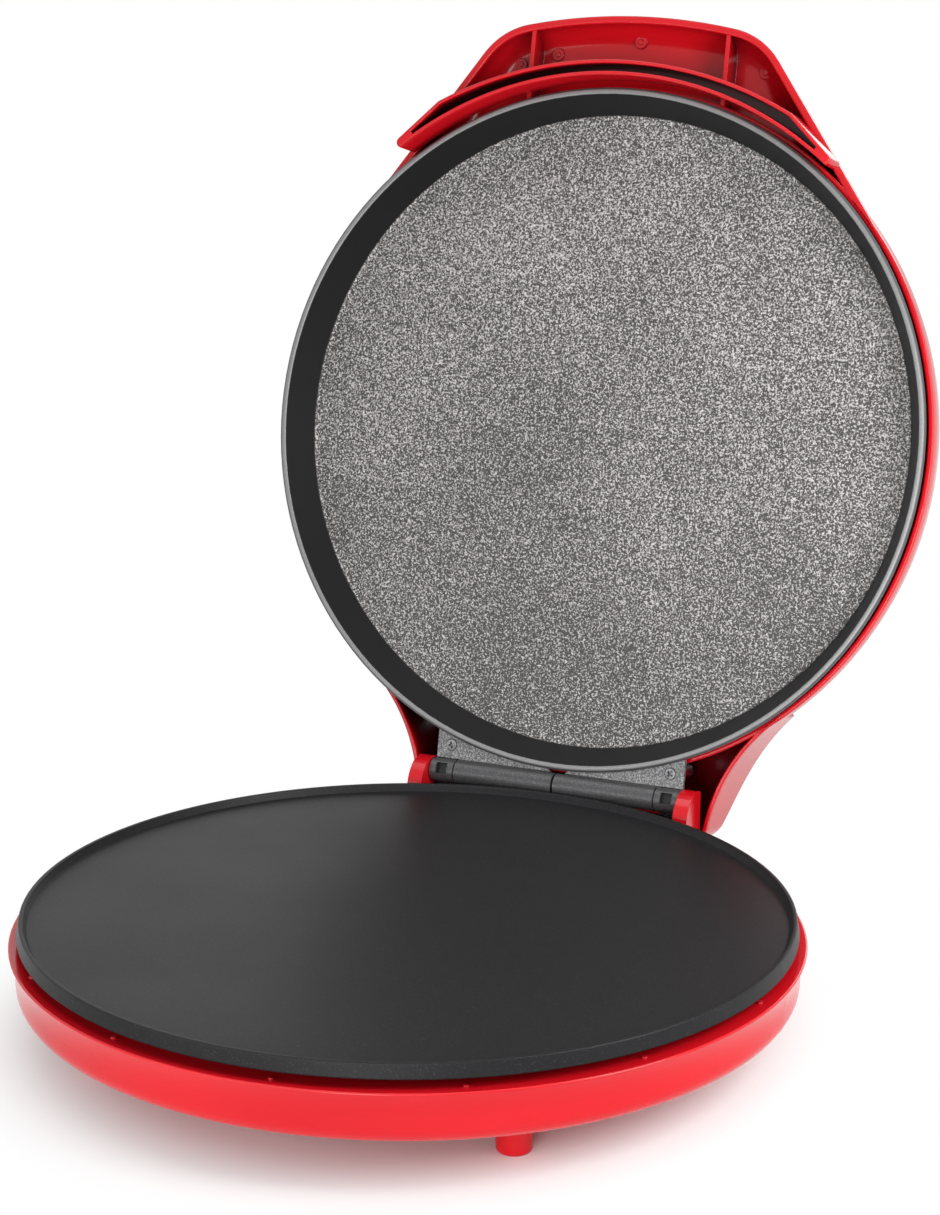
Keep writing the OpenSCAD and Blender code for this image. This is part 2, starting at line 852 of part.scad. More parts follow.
module base_leaf_screws() {
    color(screw_grey)
    for (side = [-1, 1])
        translate([side * leaf_screw_x, leaf_screw_y, block_z1 + leaf_t])
            countersunk_screw(leaf_t + block_z1 - block_z0 - 0.5);
}

module hinge_pin() {
    color(screw_grey)
    translate([-pin_half, hinge_y, hinge_z])
        rotate([0, 90, 0])
            cylinder(r = pin_r, h = 2 * pin_half);
}

module hinge_lid_leaf() {
    slit = barrel_slit / 2;
    wing_back = hinge_y - sqrt(pow(barrel_r + sheet_gap, 2) - pow(plate_z0 - hinge_z, 2));
    root_y = hinge_y - pin_hole_r - plate_root;
    color(steel_dark)
    swung_open() {
        for (side = [0, 1])
            mirror([side, 0, 0])
                tube_x(slit, barrel_end, barrel_r, pin_hole_r);
        translate([0, 0, plate_z0])
            difference() {
                linear_extrude(plate_t)
                    difference() {
                        union() {
                            translate([-plate_half, 0])
                                square([2 * plate_half, wing_back - wing_gap]);
                            for (side = [-1, 1])
                                translate([side * (slit + barrel_end) / 2, wing_back])
                                    square([barrel_end - slit, 2 * (root_y - wing_back)], center = true);
                        }
                        circle(r = plate_front_r);
                        polygon([[-notch_half, plate_front_r + plate_bridge],
                            [notch_half, plate_front_r + plate_bridge],
                            [slit, root_y + 1], [-slit, root_y + 1]]);
                    }
                for (side = [-1, 1])
                    translate([side * plate_screw_x, plate_screw_y, plate_t])
                        mirror([0, 0, 1])
                            countersunk_hole(plate_t);
            }
    }
}

module lid_leaf_screws() {
    color(screw_grey)
    swung_open()
        for (side = [-1, 1])
            translate([side * plate_screw_x, plate_screw_y, plate_z0])
                mirror([0, 0, 1])
                    countersunk_screw(plate_t + grip_l);
}

// Outside of the lid's dome as a section, set in by a wall thickness
function dome_points(inset) =
    let (wall_z = lid_rim_z + lid_upright,
        shoulder_c = [lid_r - lid_shoulder_r - (crown_z - lid_dome_rise - lid_shoulder_r - wall_z)
            * tan(lid_draft), crown_z - lid_dome_rise - lid_shoulder_r],
        crown_r = (pow(shoulder_c[0], 2) + pow(lid_dome_rise, 2)) / (2 * lid_dome_rise),
        crown_a = asin(shoulder_c[0] / crown_r))
    concat([[0, lid_rim_z], [lid_r - inset, lid_rim_z], [lid_r - inset, wall_z]],
        arc(shoulder_c, lid_shoulder_r - inset, lid_draft, 90 - crown_a, 8),
        arc([0, crown_z - crown_r], crown_r - inset, 90 - crown_a + 0.5, 90, 8));

module dome(inset) {
    rotate_extrude()
        polygon(dome_points(inset));
}

// Outline of the handle from above, set in by a distance
function handle_half(inset) =
    let (a = -handle_side_angle,
        front_c = [0, handle_front_y + handle_front_r],
        front_r = handle_front_r - inset,
        side_d = handle_side_d - inset,
        cr = handle_corner_r - inset,
        n = [cos(a), sin(a)],
        t = [-sin(a), cos(a)],
        reach = front_r - cr,
        off = side_d - cr - front_c * n,
        along = -sqrt(pow(reach, 2) - pow(off, 2)),
        c = front_c + n * off + t * along,
        from_front = atan2(c[1] - front_c[1], c[0] - front_c[0]))
    concat(arc(front_c, front_r, -90, from_front, 5), arc(c, cr, from_front + 5, a, 7),
        [n * side_d, n * side_d - [handle_root, -handle_root]]);

// One outline of the handle lifted to a height
function handle_level(inset, z) = [for (p = both_sides(handle_half(inset))) [p[0], p[1], z]];

// Solid through a stack of outlines that have as many points each
module loft(levels) {
    n = len(levels[0]);
    top = len(levels) - 1;
    polyhedron(
        points = [for (level = levels) each level],
        faces = concat([[for (i = [0:n - 1]) i]], [[for (i = [n - 1:-1:0]) top * n + i]],
            [for (k = [0:top - 1], i = [0:n - 1]) let (j = (i + 1) % n)
                [k * n + i, (k + 1) * n + i, (k + 1) * n + j]],
            [for (k = [0:top - 1], i = [0:n - 1]) let (j = (i + 1) % n)
                [k * n + i, (k + 1) * n + j, k * n + j]]));
}

// Handle block whose upright edge rolls over into a flat top
module handle_block(inset) {
    roll = handle_round - inset;
    edge_z = lid_rim_z + handle_edge_h;
    loft(concat([handle_level(inset, lid_rim_z - (inset > 0 ? 1 : 0))],
        [for (a = [0:18:90]) handle_level(inset + roll * (1 - cos(a)), edge_z + roll * sin(a))]));
}

// Outline of the rear shroud from above, set in by a distance
function shroud_half(inset) =
    let (c = [shroud_half_w + shroud_fillet, 0],
        reach = lid_r + shroud_fillet - tuck,
        cy = sqrt(pow(reach, 2) - pow(c[0], 2)),
        fillet_c = [c[0], cy],
        r = shroud_fillet + inset,
        back_y = hinge_y + shroud_reach - inset,
        cr = shroud_corner - inset,
        corner_y = back_y - cr,
        corner_x = c[0] - sqrt(pow(r + cr, 2) - pow(corner_y - cy, 2)),
        touch_a = atan2(corner_y - cy, corner_x - c[0]),
        start_a = atan2(-cy, -c[0]))
    concat([[0, lid_r / 2], [c[0] / 3, lid_r / 2]],
        arc(fillet_c, r, start_a + 360, touch_a + (touch_a < 0 ? 360 : 0), 9),
        arc([corner_x, corner_y], cr, touch_a + (touch_a < 0 ? 180 : -180), 90, 5), [[0, back_y]]);

module shroud_block(inset) {
    roll_y = hinge_y + shroud_reach - shroud_roll;
    roll_z = lid_rim_z + shroud_roll_rise;
    drop = inset > 0 ? 1 : 0;
    intersection() {
        translate([0, 0, lid_rim_z - drop])
            linear_extrude(crown_z)
                polygon(both_sides(shroud_half(inset)));
        union() {
            translate([-lid_r, roll_y, roll_z])
                rotate([0, 90, 0])
                    cylinder(r = shroud_roll - inset, h = 2 * lid_r);
            translate([-lid_r, 0, lid_rim_z - drop])
                cube([2 * lid_r, roll_y + shroud_roll - inset, roll_z - lid_rim_z + drop]);
        }
    }
}

module handle_ribs() {
    rib_top = handle_top_z - handle_wall / 2;
    intersection() {
        for (side = [-1, 1])
            translate([side * rib_x - rib_t / 2, handle_front_y, lid_rim_z])
                cube([rib_t, -handle_front_y, rib_top - lid_rim_z]);
        handle_block(0);
    }
}

module plate_posts() {
    for (side = [-1, 1])
        translate([side * plate_screw_x, plate_screw_y, plate_z0 + plate_t])
            cylinder(r = plate_post_r, h = plate_post_h);
}

module upper_posts() {
    intersection() {
        ring_of(upper_post_count, upper_post_ring_r, 45)
            translate([0, 0, upper_reflector_z + sheet_t])
                cylinder(r = upper_post_r, h = lid_h);
        dome(lid_wall / 2);
    }
}

module lid_housing() {
    color(red)
    swung_open()
        difference() {
            union() {
                difference() {
                    dome(0);
                    translate([0, 0, -bite])
                        dome(lid_wall);
                }
                difference() {
                    union() {
                        difference() {
                            handle_block(0);
                            handle_block(handle_wall);
                        }
                        handle_ribs();
                        difference() {
                            shroud_block(0);
                            shroud_block(shroud_wall);
                        }
                        plate_posts();
                    }
                    translate([0, 0, -bite])
                        dome(lid_wall / 2);
                }
                upper_posts();
                for (side = [-1, 1])
                    rotate([0, 0, -90 + side * asin(tab_x / lid_r)])
                        translate([lid_r - lid_wall - tab_out, -tab_w / 2, lid_rim_z])
                            cube([tab_out + lid_wall / 2, tab_w, tab_h]);
            }
            for (side = [-1, 1])
                translate([side * plate_screw_x, plate_screw_y, plate_z0])
                    cylinder(r = hole_r, h = plate_t + grip_l + 1);
            ring_of(upper_post_count, upper_post_ring_r, 45)
                translate([0, 0, upper_reflector_z - 1])
                    cylinder(r = hole_r, h = grip_l + 1);
        }
}

// Crescent of the visor seen from above, set in by a wall thickness and cut short at its ends
module visor_outline(inset, cut_angle) {
    far = 2 * lid_r;
    half = visor_half_angle - cut_angle;
    difference() {
        intersection() {
            translate([0, visor_front_y + visor_front_r])
                circle(r = visor_front_r - inset);
            polygon(both_sides([[0, 0], [far * sin(half), -far * cos(half)], [0, -far]]));
            polygon(both_sides([[0, 0], visor_chamfer_point(inset, visor_face_l),
                visor_chamfer_point(inset, -visor_face_l), [0, -far]]));
        }
        circle(r = visor_inner_r + inset);
    }
}

module visor_noses() {
    difference() {
        for (side = [-1, 1])
            rotate([0, 0, -90 + side * visor_half_angle])
                translate([visor_nose_ring_r, 0])
                    circle(r = visor_nose_r);
        circle(r = visor_inner_r);
    }
}

// A point on the slanted end face of the visor, at a distance along it
function visor_chamfer_point(inset, along) =
    let (a = -90 + visor_half_angle,
        nose = visor_nose_ring_r * [cos(a), sin(a)],
        n = [cos(a + visor_nose_turn), sin(a + visor_nose_turn)])
    nose + n * (visor_nose_r - inset) + along * [-n[1], n[0]];

module lid_visor() {
    color(red)
    swung_open()
        difference() {
            translate([0, 0, visor_z0])
                linear_extrude(lid_rim_z - visor_z0) {
                    visor_outline(0, 0);
                    visor_noses();
                }
            translate([0, 0, visor_z0 - 1])
                linear_extrude(lid_rim_z - visor_web - visor_z0 + 1)
                    visor_outline(visor_wall, visor_solid_angle);
        }
}

module upper_pan() {
    back_r = lid_pan_inner_r + lid_pan_shift;
    bevel_z = lid_pan_land + lid_pan_bevel;
    color(lid_pan_grey)
    swung_open()
        difference() {
            union() {
                rotate_extrude()
                    polygon(concat([[0, lid_floor_z], [lid_pan_floor_r - lid_pan_fillet, lid_floor_z]],
                        arc([lid_pan_floor_r - lid_pan_fillet * tan(45 - lid_pan_draft / 2),
                            lid_floor_z - lid_pan_fillet], lid_pan_fillet, 75, lid_pan_draft, 4),
                        arc([lid_pan_inner_r + lid_pan_lip_r * tan(45 - lid_pan_draft / 2),
                            lid_z0 + lid_pan_lip_r], lid_pan_lip_r, 180 + lid_pan_draft, 270, 4),
                        arc([lid_pan_r - lid_pan_rim_r * cos(lid_pan_rim_a), lid_z0 + lid_pan_rim_r],
                            lid_pan_rim_r, -90, -lid_pan_rim_a, 4),
                        [[lid_pan_r, lid_z0 + lid_pan_land],
                            [back_r - bevel_z * tan(lid_pan_draft), lid_z0 + bevel_z],
                            [lid_pan_top_r, lid_pan_z1], [0, lid_pan_z1]]));
                translate([0, 0, lid_pan_z1])
                    pan_bosses(upper_floor_z - lid_pan_z1);
            }
            translate([0, 0, lid_pan_z1]) {
                pan_boss_holes(upper_floor_z - lid_pan_z1);
                strap_screw_holes();
            }
        }
}

module upper_reflector() {
    color(sheet_grey)
    swung_open()
        difference() {
            rotate_extrude()
                polygon([[0, upper_floor_z], [upper_floor_r, upper_floor_z],
                    [upper_floor_r + upper_slope_w, upper_reflector_z],
                    [upper_reflector_r, upper_reflector_z],
                    [upper_reflector_r, upper_reflector_z + sheet_t],
                    [upper_floor_r + upper_slope_w - sheet_t / 2, upper_reflector_z + sheet_t],
                    [upper_floor_r - sheet_t / 2, upper_floor_z + sheet_t], [0, upper_floor_z + sheet_t]]);
            ring_of(boss_count, boss_ring_r, 30)
                translate([0, 0, upper_floor_z - 1])
                    cylinder(r = hole_r, h = sheet_t + 2);
            ring_of(upper_post_count, upper_post_ring_r, 45)
                translate([0, 0, upper_reflector_z - 1])
                    cylinder(r = hole_r, h = sheet_t + 2);
        }
}

module upper_reflector_screws() {
    color(screw_grey)
    swung_open()
        ring_of(upper_post_count, upper_post_ring_r, 45)
            translate([0, 0, upper_reflector_z])
                pan_head_screw(grip_l - 1);
}

module upper_pan_screws() {
    color(screw_grey)
    swung_open()
        ring_of(boss_count, boss_ring_r, 30)
            translate([0, 0, upper_floor_z + sheet_t])
                mirror([0, 0, 1])
                    pan_head_screw(grip_l - 1);
}

module on_upper_pan_back() {
    swung_open()
        translate([0, 0, lid_pan_z1])
            children();
}

module upper_element() {
    color(steel_dark)
    on_upper_pan_back()
        element_ring();
}

module upper_straps() {
    color(sheet_grey)
    on_upper_pan_back()
        element_straps();
}

module upper_strap_screws() {
    color(screw_grey)
    on_upper_pan_back()
        strap_screws();
}

base_housing();
base_cover();
feet();
cover_screws();
lower_pan();
lower_reflector();
lower_reflector_screws();
lower_pan_screws();
lower_element();
lower_straps();
lower_strap_screws();
thermostat();
terminal_block();
cord_gland();
hinge_base_leaf();
base_leaf_screws();
hinge_pin();
lid_housing();
lid_visor();
upper_pan();
upper_reflector();
upper_reflector_screws();
upper_pan_screws();
upper_element();
upper_straps();
upper_strap_screws();
hinge_lid_leaf();
lid_leaf_screws();
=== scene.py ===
import json
import math

import bmesh
import bpy
from mathutils import Matrix, Vector


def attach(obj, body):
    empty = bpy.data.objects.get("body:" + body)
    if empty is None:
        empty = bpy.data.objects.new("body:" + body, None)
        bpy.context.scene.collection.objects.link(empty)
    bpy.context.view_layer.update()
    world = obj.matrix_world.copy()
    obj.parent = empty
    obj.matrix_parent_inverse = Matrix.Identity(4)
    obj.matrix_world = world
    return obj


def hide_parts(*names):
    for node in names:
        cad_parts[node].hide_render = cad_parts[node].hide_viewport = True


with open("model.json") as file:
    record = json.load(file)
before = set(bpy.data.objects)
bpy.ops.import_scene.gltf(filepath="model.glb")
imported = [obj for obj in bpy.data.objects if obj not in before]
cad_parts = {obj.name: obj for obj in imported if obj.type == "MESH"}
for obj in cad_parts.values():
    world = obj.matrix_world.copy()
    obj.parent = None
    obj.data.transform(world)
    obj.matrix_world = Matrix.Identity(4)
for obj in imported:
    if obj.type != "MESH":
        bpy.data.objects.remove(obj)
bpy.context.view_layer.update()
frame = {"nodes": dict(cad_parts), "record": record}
print("frame loaded with", len(frame["nodes"]), "nodes")

# lengths in this file are millimetres unless a note says otherwise
mm = 0.001
tiny = 0.001  # what counts as nothing, and a guard in divisions
hinge = {"y": 166.8, "z": 53.4, "openAngle": 102.27}
lid = {
    "radius": 161.4,
    "rimZ": 61,
    "crownZ": 102,
    "wall": 2.5,
    "upright": 9,
    "draft": 11,
    "shoulder": 12,
    "rise": 5,
    "tuck": 0.4,
    "lip": 0.6,
    "skirt": 4,  # of the wall that is drawn below its upper edge
    "seam": 0.4,  # degrees between the shoulder's last point and the crown's first
    "plugDrop": 8,  # how far the cutting plug stands below the rim
    "segments": 256,
    "lipSteps": 4,
    "shoulderSteps": 14,
    "crownSteps": 16,
    "smoothAngle": 28,
}
swingMatrix = (
    Matrix.Translation((0, hinge["y"], hinge["z"]))
    @ Matrix.Rotation(math.radians(-hinge["openAngle"]), 4, "X")
    @ Matrix.Translation((0, -hinge["y"], -hinge["z"]))
)


class Wire:
    # an output socket that can stand in a sum
    def __init__(self, finish, socket):
        self.finish = finish
        self.socket = socket

    def reckon(self, operation, first, second):
        return self.finish.node("ShaderNodeMath", {"operation": operation}, {0: first, 1: second})

    def other(self, name):
        # another output of the same node
        return Wire(self.finish, self.socket.node.outputs[name])

    def __add__(self, other):
        return self.reckon("ADD", self, other)

    def __radd__(self, other):
        return self.reckon("ADD", other, self)

    def __sub__(self, other):
        return self.reckon("SUBTRACT", self, other)

    def __rsub__(self, other):
        return self.reckon("SUBTRACT", other, self)

    def __mul__(self, other):
        return self.reckon("MULTIPLY", self, other)

    def __rmul__(self, other):
        return self.reckon("MULTIPLY", other, self)

    def __truediv__(self, other):
        return self.reckon("DIVIDE", self, other)

    def __pow__(self, other):
        return self.reckon("POWER", self, other)


class Finish:
    # the nodes of one material, or of the world
    def __init__(self, owner):
        if isinstance(owner, str):
            owner = bpy.data.materials.new(owner)
        owner.use_nodes = True
        self.owner = owner
        self.tree = owner.node_tree
        self.shader = self.tree.nodes.get("Principled BSDF") or self.tree.nodes["Background"]

    def feed(self, socket, value):
        if isinstance(value, Wire):
            self.tree.links.new(value.socket, socket)
        else:
            socket.default_value = value

    def node(self, kind, settings=None, values=None, out=0):
        made = self.tree.nodes.new(kind)
        for key, value in (settings or {}).items():
            setattr(made, key, value)
        for key, value in (values or {}).items():
            self.feed(made.inputs[key], value)
        return Wire(self, made.outputs[out])

    def place(self):
        return self.node("ShaderNodeTexCoord", out="Object")

    def vector(self, operation, first, second=None, out=0):
        values = {0: first} if second is None else {0: first, 1: second}
        return self.node("ShaderNodeVectorMath", {"operation": operation}, values, out)

    def step(self, value, low, high):
        # 0 below low, 1 above high, smooth between
        return self.node(
            "ShaderNodeMapRange",
            {"interpolation_type": "SMOOTHSTEP"},
            {"Value": value, "From Min": low, "From Max": high},
        )

    def colours(self, factor, first, second):
        return self.node("ShaderNodeMix", {"data_type": "RGBA"}, {0: factor, 6: first, 7: second}, out=2)

    def noise(self, scale, detail, roughness=0.5, place=None):
        return self.node(
            "ShaderNodeTexNoise",
            None,
            {"Vector": place or self.place(), "Scale": scale, "Detail": detail, "Roughness": roughness},
        )

    def cells(self, scale, smoothness):
        values = {"Vector": self.place(), "Scale": scale, "Smoothness": smoothness}
        return self.node("ShaderNodeTexVoronoi", {"feature": "SMOOTH_F1"}, values)

    def bump(self, height, depth, strength, normal=None):
        # depth in millimetres
        values = {"Height": height, "Distance": depth * mm, "Strength": strength}
        if normal:
            values["Normal"] = normal
        return self.node("ShaderNodeBump", None, values)

    def shownRays(self):
        # 1 for the rays that show the background: straight, mirrored or through glass
        rays = self.node("ShaderNodeLightPath", out="Is Camera Ray")
        shown = rays.reckon("MAXIMUM", rays, rays.other("Is Glossy Ray"))
        return rays.reckon("MAXIMUM", shown, rays.other("Is Transmission Ray"))

    def surface(self, values):
        for key, value in values.items():
            self.feed(self.shader.inputs[key], value)
        return self.owner


redPlastic = {
    "colour": (0.62, 0.007, 0.014, 1),
    "shade": (0.55, 0.005, 0.011, 1),
    "shadeScale": 9,
    "shadeRange": (0.35, 0.7),
    "recess": (0.035, 0.001, 0.003, 1),  # painted shade: the red darkened in deep corners and cavities
    "recessReach": 42,
    "recessRange": (0.12, 0.66),  # openness of a deep corner and of an open face
    "roughness": 0.16,
    "roughnessSpread": 0.07,
    "rippleScale": 38,
    "ripple": 0.02,  # depth of the moulding's slight waviness
    "rippleStrength": 0.35,
    "grainScale": 420,
    "grainDepth": 0.006,
    "grainStrength": 0.25,
    "edge": 0.45,  # rounding that edges show
    "edgeSamples": 6,
    "specular": 0.32,
}


def makeRedPlastic(name, settings):
    finish = Finish(name)
    cloud = finish.noise(settings["shadeScale"], 2)
    grain = finish.noise(settings["grainScale"], 3)
    samples = {"samples": settings["edgeSamples"]}
    edges = finish.node("ShaderNodeBevel", samples, {"Radius": settings["edge"] * mm})
    waves = finish.noise(settings["rippleScale"], 1)
    ripple = finish.bump(waves, settings["ripple"], settings["rippleStrength"], edges)
    # ambient occlusion that paints shade into the moulding's recesses
    openness = finish.node(
        "ShaderNodeAmbientOcclusion",
        {"samples": 8, "only_local": True},
        {"Distance": settings["recessReach"] * mm},
        "AO",
    )
    red = finish.colours(finish.step(cloud, *settings["shadeRange"]), settings["colour"], settings["shade"])
    lit = finish.step(openness, *settings["recessRange"])
    return finish.surface(
        {
            "Base Color": finish.colours(lit, settings["recess"], red),
            "Roughness": settings["roughness"] + settings["roughnessSpread"] * (grain - 0.5),
            "Normal": finish.bump(grain, settings["grainDepth"], settings["grainStrength"], ripple),
            "IOR": 1.5,
            "Specular IOR Level": settings["specular"],
        }
    )


lowerCoating = {
    "colour": (0.011, 0.011, 0.012, 1),
    "speck": (0.045, 0.045, 0.048, 1),
    "speckScale": 1400,
    "speckRange": (0.62, 0.74),
    "speckShare": 0.6,
    "roughness": 0.4,
    "cloudScale": 16,
    "cloudSpread": 0.14,
    "grainScale": 900,
    "grainSpread": 0.1,
    "grainDepth": 0.03,
    "grainStrength": 0.5,
    "edge": 0.5,
    "edgeSamples": 6,
    "specular": 0.16,
}


def makeLowerCoating(name, settings):
    finish = Finish(name)
    grain = finish.noise(settings["grainScale"], 2)
    specks = finish.step(finish.noise(settings["speckScale"], 1), *settings["speckRange"])
    cloud = finish.noise(settings["cloudScale"], 3)
    samples = {"samples": settings["edgeSamples"]}
    edges = finish.node("ShaderNodeBevel", samples, {"Radius": settings["edge"] * mm})
    rough = settings["roughness"] + settings["cloudSpread"] * (cloud - 0.5)
    return finish.surface(
        {
            "Base Color": finish.colours(specks * settings["speckShare"], settings["colour"], settings["speck"]),
            "Roughness": rough + settings["grainSpread"] * (grain - 0.5),
            "Specular IOR Level": settings["specular"],
            "Normal": finish.bump(grain, settings["grainDepth"], settings["grainStrength"], edges),
        }
    )


lidCoating = {
    # the floor's grain: light tops and dark gaps, partly the coat's flecked tone and partly painted highlights on
    # the pebbles and painted shade in their gaps
    "pebble": (0.64, 0.61, 0.60, 1),
    "gap": (0.068, 0.065, 0.064, 1),
    "metal": 0.45,  # share of metal flake in the floor's coat
    # the pan's side wall, painted darker than the floor of the same coat: painted shade and painted dark
    # reflection
    "wall": (0.011, 0.011, 0.012, 1),
    "crest": (0.27, 0.27, 0.27, 1),  # top of the rim painted lighter: painted highlight along the crest, and rubbed coating
    "crestShare": 0.6,
    "crestFine": 0.5,
    "crestMetal": 0.3,
    "slope": (0.085, 0.085, 0.088, 1),
    "grainSize": 1.5,  # width of one pebble of the grain
    "grainDepth": 0.22,
    "grainStrength": 0.9,
    "floorZ": 70.8,  # height of the pan's floor with the lid closed
    "floorFade": (-0.9, -0.2),  # where the wall turns into the floor, from the floor's height
    "rimZ": 52.4,
    "crestFade": (0.2, 0.5),
    "slopeRadius": 158.4,
    "slopeFade": 0.5,
    "fineScale": 1500,
    "fineShare": 0.2,
    "cloudScale": 7,
    "cloudRange": (0.3, 0.8),
    "cloudShare": 0.25,
    "roughness": 0.42,
    "grainGloss": 0.04,
    "crestGloss": 0.06,
    "specular": 0.22,
}


def lidPlace(finish):
    # the place on the lid as it is when closed, in metres
    turn = math.radians(hinge["openAngle"])
    fromHinge = finish.vector("SUBTRACT", finish.place(), (0, hinge["y"] * mm, hinge["z"] * mm))
    across = finish.vector("DOT_PRODUCT", fromHinge, (1, 0, 0), "Value")
    along = finish.vector("DOT_PRODUCT", fromHinge, (0, math.cos(turn), -math.sin(turn)), "Value")
    above = finish.vector("DOT_PRODUCT", fromHinge, (0, math.sin(turn), math.cos(turn)), "Value")
    return across, along + hinge["y"] * mm, above + hinge["z"] * mm


pebbles = {
    "coarse": 1.55,  # both scales are for a grain of width 1
    "small": 2.1,
    "smoothness": 0.4,
    "smallShare": 0.3,
    "smallMiddle": 0.45,
    "range": (0.36, 0.72),
}


def pebbled(finish, size):
    # irregular grains that run into each other, 0 in the gaps and 1 on the tops
    coarse = finish.noise(pebbles["coarse"] / (size * mm), 2, 0.6)
    small = finish.cells(pebbles["small"] / (size * mm), pebbles["smoothness"])
    return finish.step(coarse - pebbles["smallShare"] * (small - pebbles["smallMiddle"]), *pebbles["range"])


def makeLidCoating(name, settings):
    finish = Finish(name)
    across, along, above = lidPlace(finish)
    radius = (across * across + along * along) ** 0.5
    slopeR = settings["slopeRadius"]
    onFloor = finish.step(above, *((settings["floorZ"] + fade) * mm for fade in settings["floorFade"]))
    onCrest = 1 - finish.step(above, *((settings["rimZ"] + fade) * mm for fade in settings["crestFade"]))
    onSlope = finish.step(radius, slopeR * mm, (slopeR + settings["slopeFade"]) * mm)
    grains = pebbled(finish, settings["grainSize"])
    fine = finish.noise(settings["fineScale"], 2)
    cloud = finish.step(finish.noise(settings["cloudScale"], 3), *settings["cloudRange"])
    # painted highlights on the pebble tops and painted shade in the gaps, over the coat's own tone
    floor = finish.colours(grains - settings["cloudShare"] * cloud, settings["gap"], settings["pebble"])
    # painted highlight along the rim's crest, which also stands for rubbed coating
    crestHighlightAndWear = onCrest * (settings["crestShare"] + settings["crestFine"] * fine)
    # painted shade: the wall takes the dark colour, the floor its grain
    colour = finish.colours(onFloor, settings["wall"], floor)
    colour = finish.colours(crestHighlightAndWear, colour, settings["crest"])
    colour = finish.colours(onSlope * (1 - onFloor), colour, settings["slope"])
    height = onFloor * grains + (1 - onFloor) * fine * settings["fineShare"]
    rough = settings["roughness"] - settings["grainGloss"] * grains * onFloor
    return finish.surface(
        {
            "Base Color": colour,
            "Roughness": rough - settings["crestGloss"] * onCrest,
            "Metallic": settings["crestMetal"] * onCrest * (1 - onFloor) + settings["metal"] * onFloor,
            "Specular IOR Level": settings["specular"],
            "Normal": finish.bump(height, settings["grainDepth"], settings["grainStrength"]),
        }
    )


hingeSteel = {
    "bore": (0.004, 0.004, 0.004, 1),  # painted shade inside the barrels, seen through their windows
    "boreRadius": 4.2,
    "boreFade": 0.5,
    "barrel": (0.05, 0.05, 0.052, 1),
    "barrelFleck": (0.10, 0.10, 0.104, 1),
    "fleckScale": 1700,
    "fleckRange": (0.45, 0.7),
    "fleckHeight": 0.35,
    "barrelRadius": 5.6,
    "plateFade": (0.2, 0.7),
    "plateGap": (0.07, 0.07, 0.072, 1),
    "litPlateGrain": (0.34, 0.34, 0.34, 1),
    "grainSize": 1.15,
    "grainDepth": 0.1,
    "grainStrength": 0.5,
    "roughness": 0.4,
    "blotchScale": 60,
    "blotchSpread": 0.2,
    "metal": 0.2,
}


def makeHingeSteel(name, settings):
    # smooth barrels, grained plates painted lighter than the barrels, partly for the light the plates catch
    finish = Finish(name)
    fromHinge = finish.vector("SUBTRACT", finish.place(), (0, hinge["y"] * mm, hinge["z"] * mm))
    fromAxis = finish.vector("LENGTH", finish.vector("MULTIPLY", fromHinge, (0, 1, 1)), out="Value")
    boreR = settings["boreRadius"]
    onPlate = finish.step(fromAxis, *((settings["barrelRadius"] + fade) * mm for fade in settings["plateFade"]))
    grains = pebbled(finish, settings["grainSize"])
    fine = finish.noise(settings["fleckScale"], 2)
    flecks = finish.step(fine, *settings["fleckRange"])
    onBarrel = finish.step(fromAxis, (boreR - settings["boreFade"]) * mm, boreR * mm)
    barrel = finish.colours(flecks, settings["barrel"], settings["barrelFleck"])
    # painted shade: the barrels' insides are near black
    barrel = finish.colours(onBarrel, settings["bore"], barrel)
    # painted light: the plates' grain lighter than the barrels, with dark gaps between the grains
    plate = finish.colours(grains, settings["plateGap"], settings["litPlateGrain"])
    height = onPlate * grains + (1 - onPlate) * fine * settings["fleckHeight"]
    blotches = finish.noise(settings["blotchScale"], 2)
    return finish.surface(
        {
            "Base Color": finish.colours(onPlate, barrel, plate),
            "Roughness": settings["roughness"] + settings["blotchSpread"] * (blotches - 0.5),
            "Metallic": settings["metal"],
            "Normal": finish.bump(height, settings["grainDepth"], settings["grainStrength"]),
        }
    )


# finishes of one colour with stains; stretch draws the stains out, range sharpens them
screwSteel = {
    "colour": (0.20, 0.20, 0.205, 1),
    "stain": (0.11, 0.11, 0.115, 1),
    "scale": 260,
    "detail": 3,
    "grit": 0.5,
    "range": (0.4, 0.7),
    "roughness": 0.4,
    "roughnessSpread": 0.25,
    "metal": 0.6,
    "skinScale": 2200,
    "skinDepth": 0.01,
    "skinStrength": 0.4,
}
sheetMetal = {
    "colour": (0.62, 0.63, 0.65, 1),
    "stain": (0.48, 0.48, 0.50, 1),
    "stretch": (1, 30, 30),
    "scale": 60,
    "detail": 4,
    "grit": 0.6,
    "roughness": 0.38,
    "roughnessSpread": 0.2,
    "metal": 0.9,
    "skinDepth": 0.01,
    "skinStrength": 0.3,
}
elementSheath = {
    "colour": (0.10, 0.095, 0.09, 1),
    "stain": (0.22, 0.19, 0.16, 1),
    "scale": 120,
    "detail": 4,
    "grit": 0.6,
    "range": (0.45, 0.7),
    "roughness": 0.5,
    "roughnessSpread": 0.2,
    "metal": 0.6,
    "skinScale": 1500,
    "skinDepth": 0.02,
    "skinStrength": 0.4,
}
paleCeramic = {
    "colour": (0.72, 0.69, 0.60, 1),
    "stain": (0.60, 0.56, 0.46, 1),
    "scale": 90,
    "detail": 3,
    "grit": 0.5,
    "roughness": 0.55,
    "roughnessSpread": 0.1,
    "metal": 0.0,
    "skinScale": 1800,
    "skinDepth": 0.02,
    "skinStrength": 0.4,
}
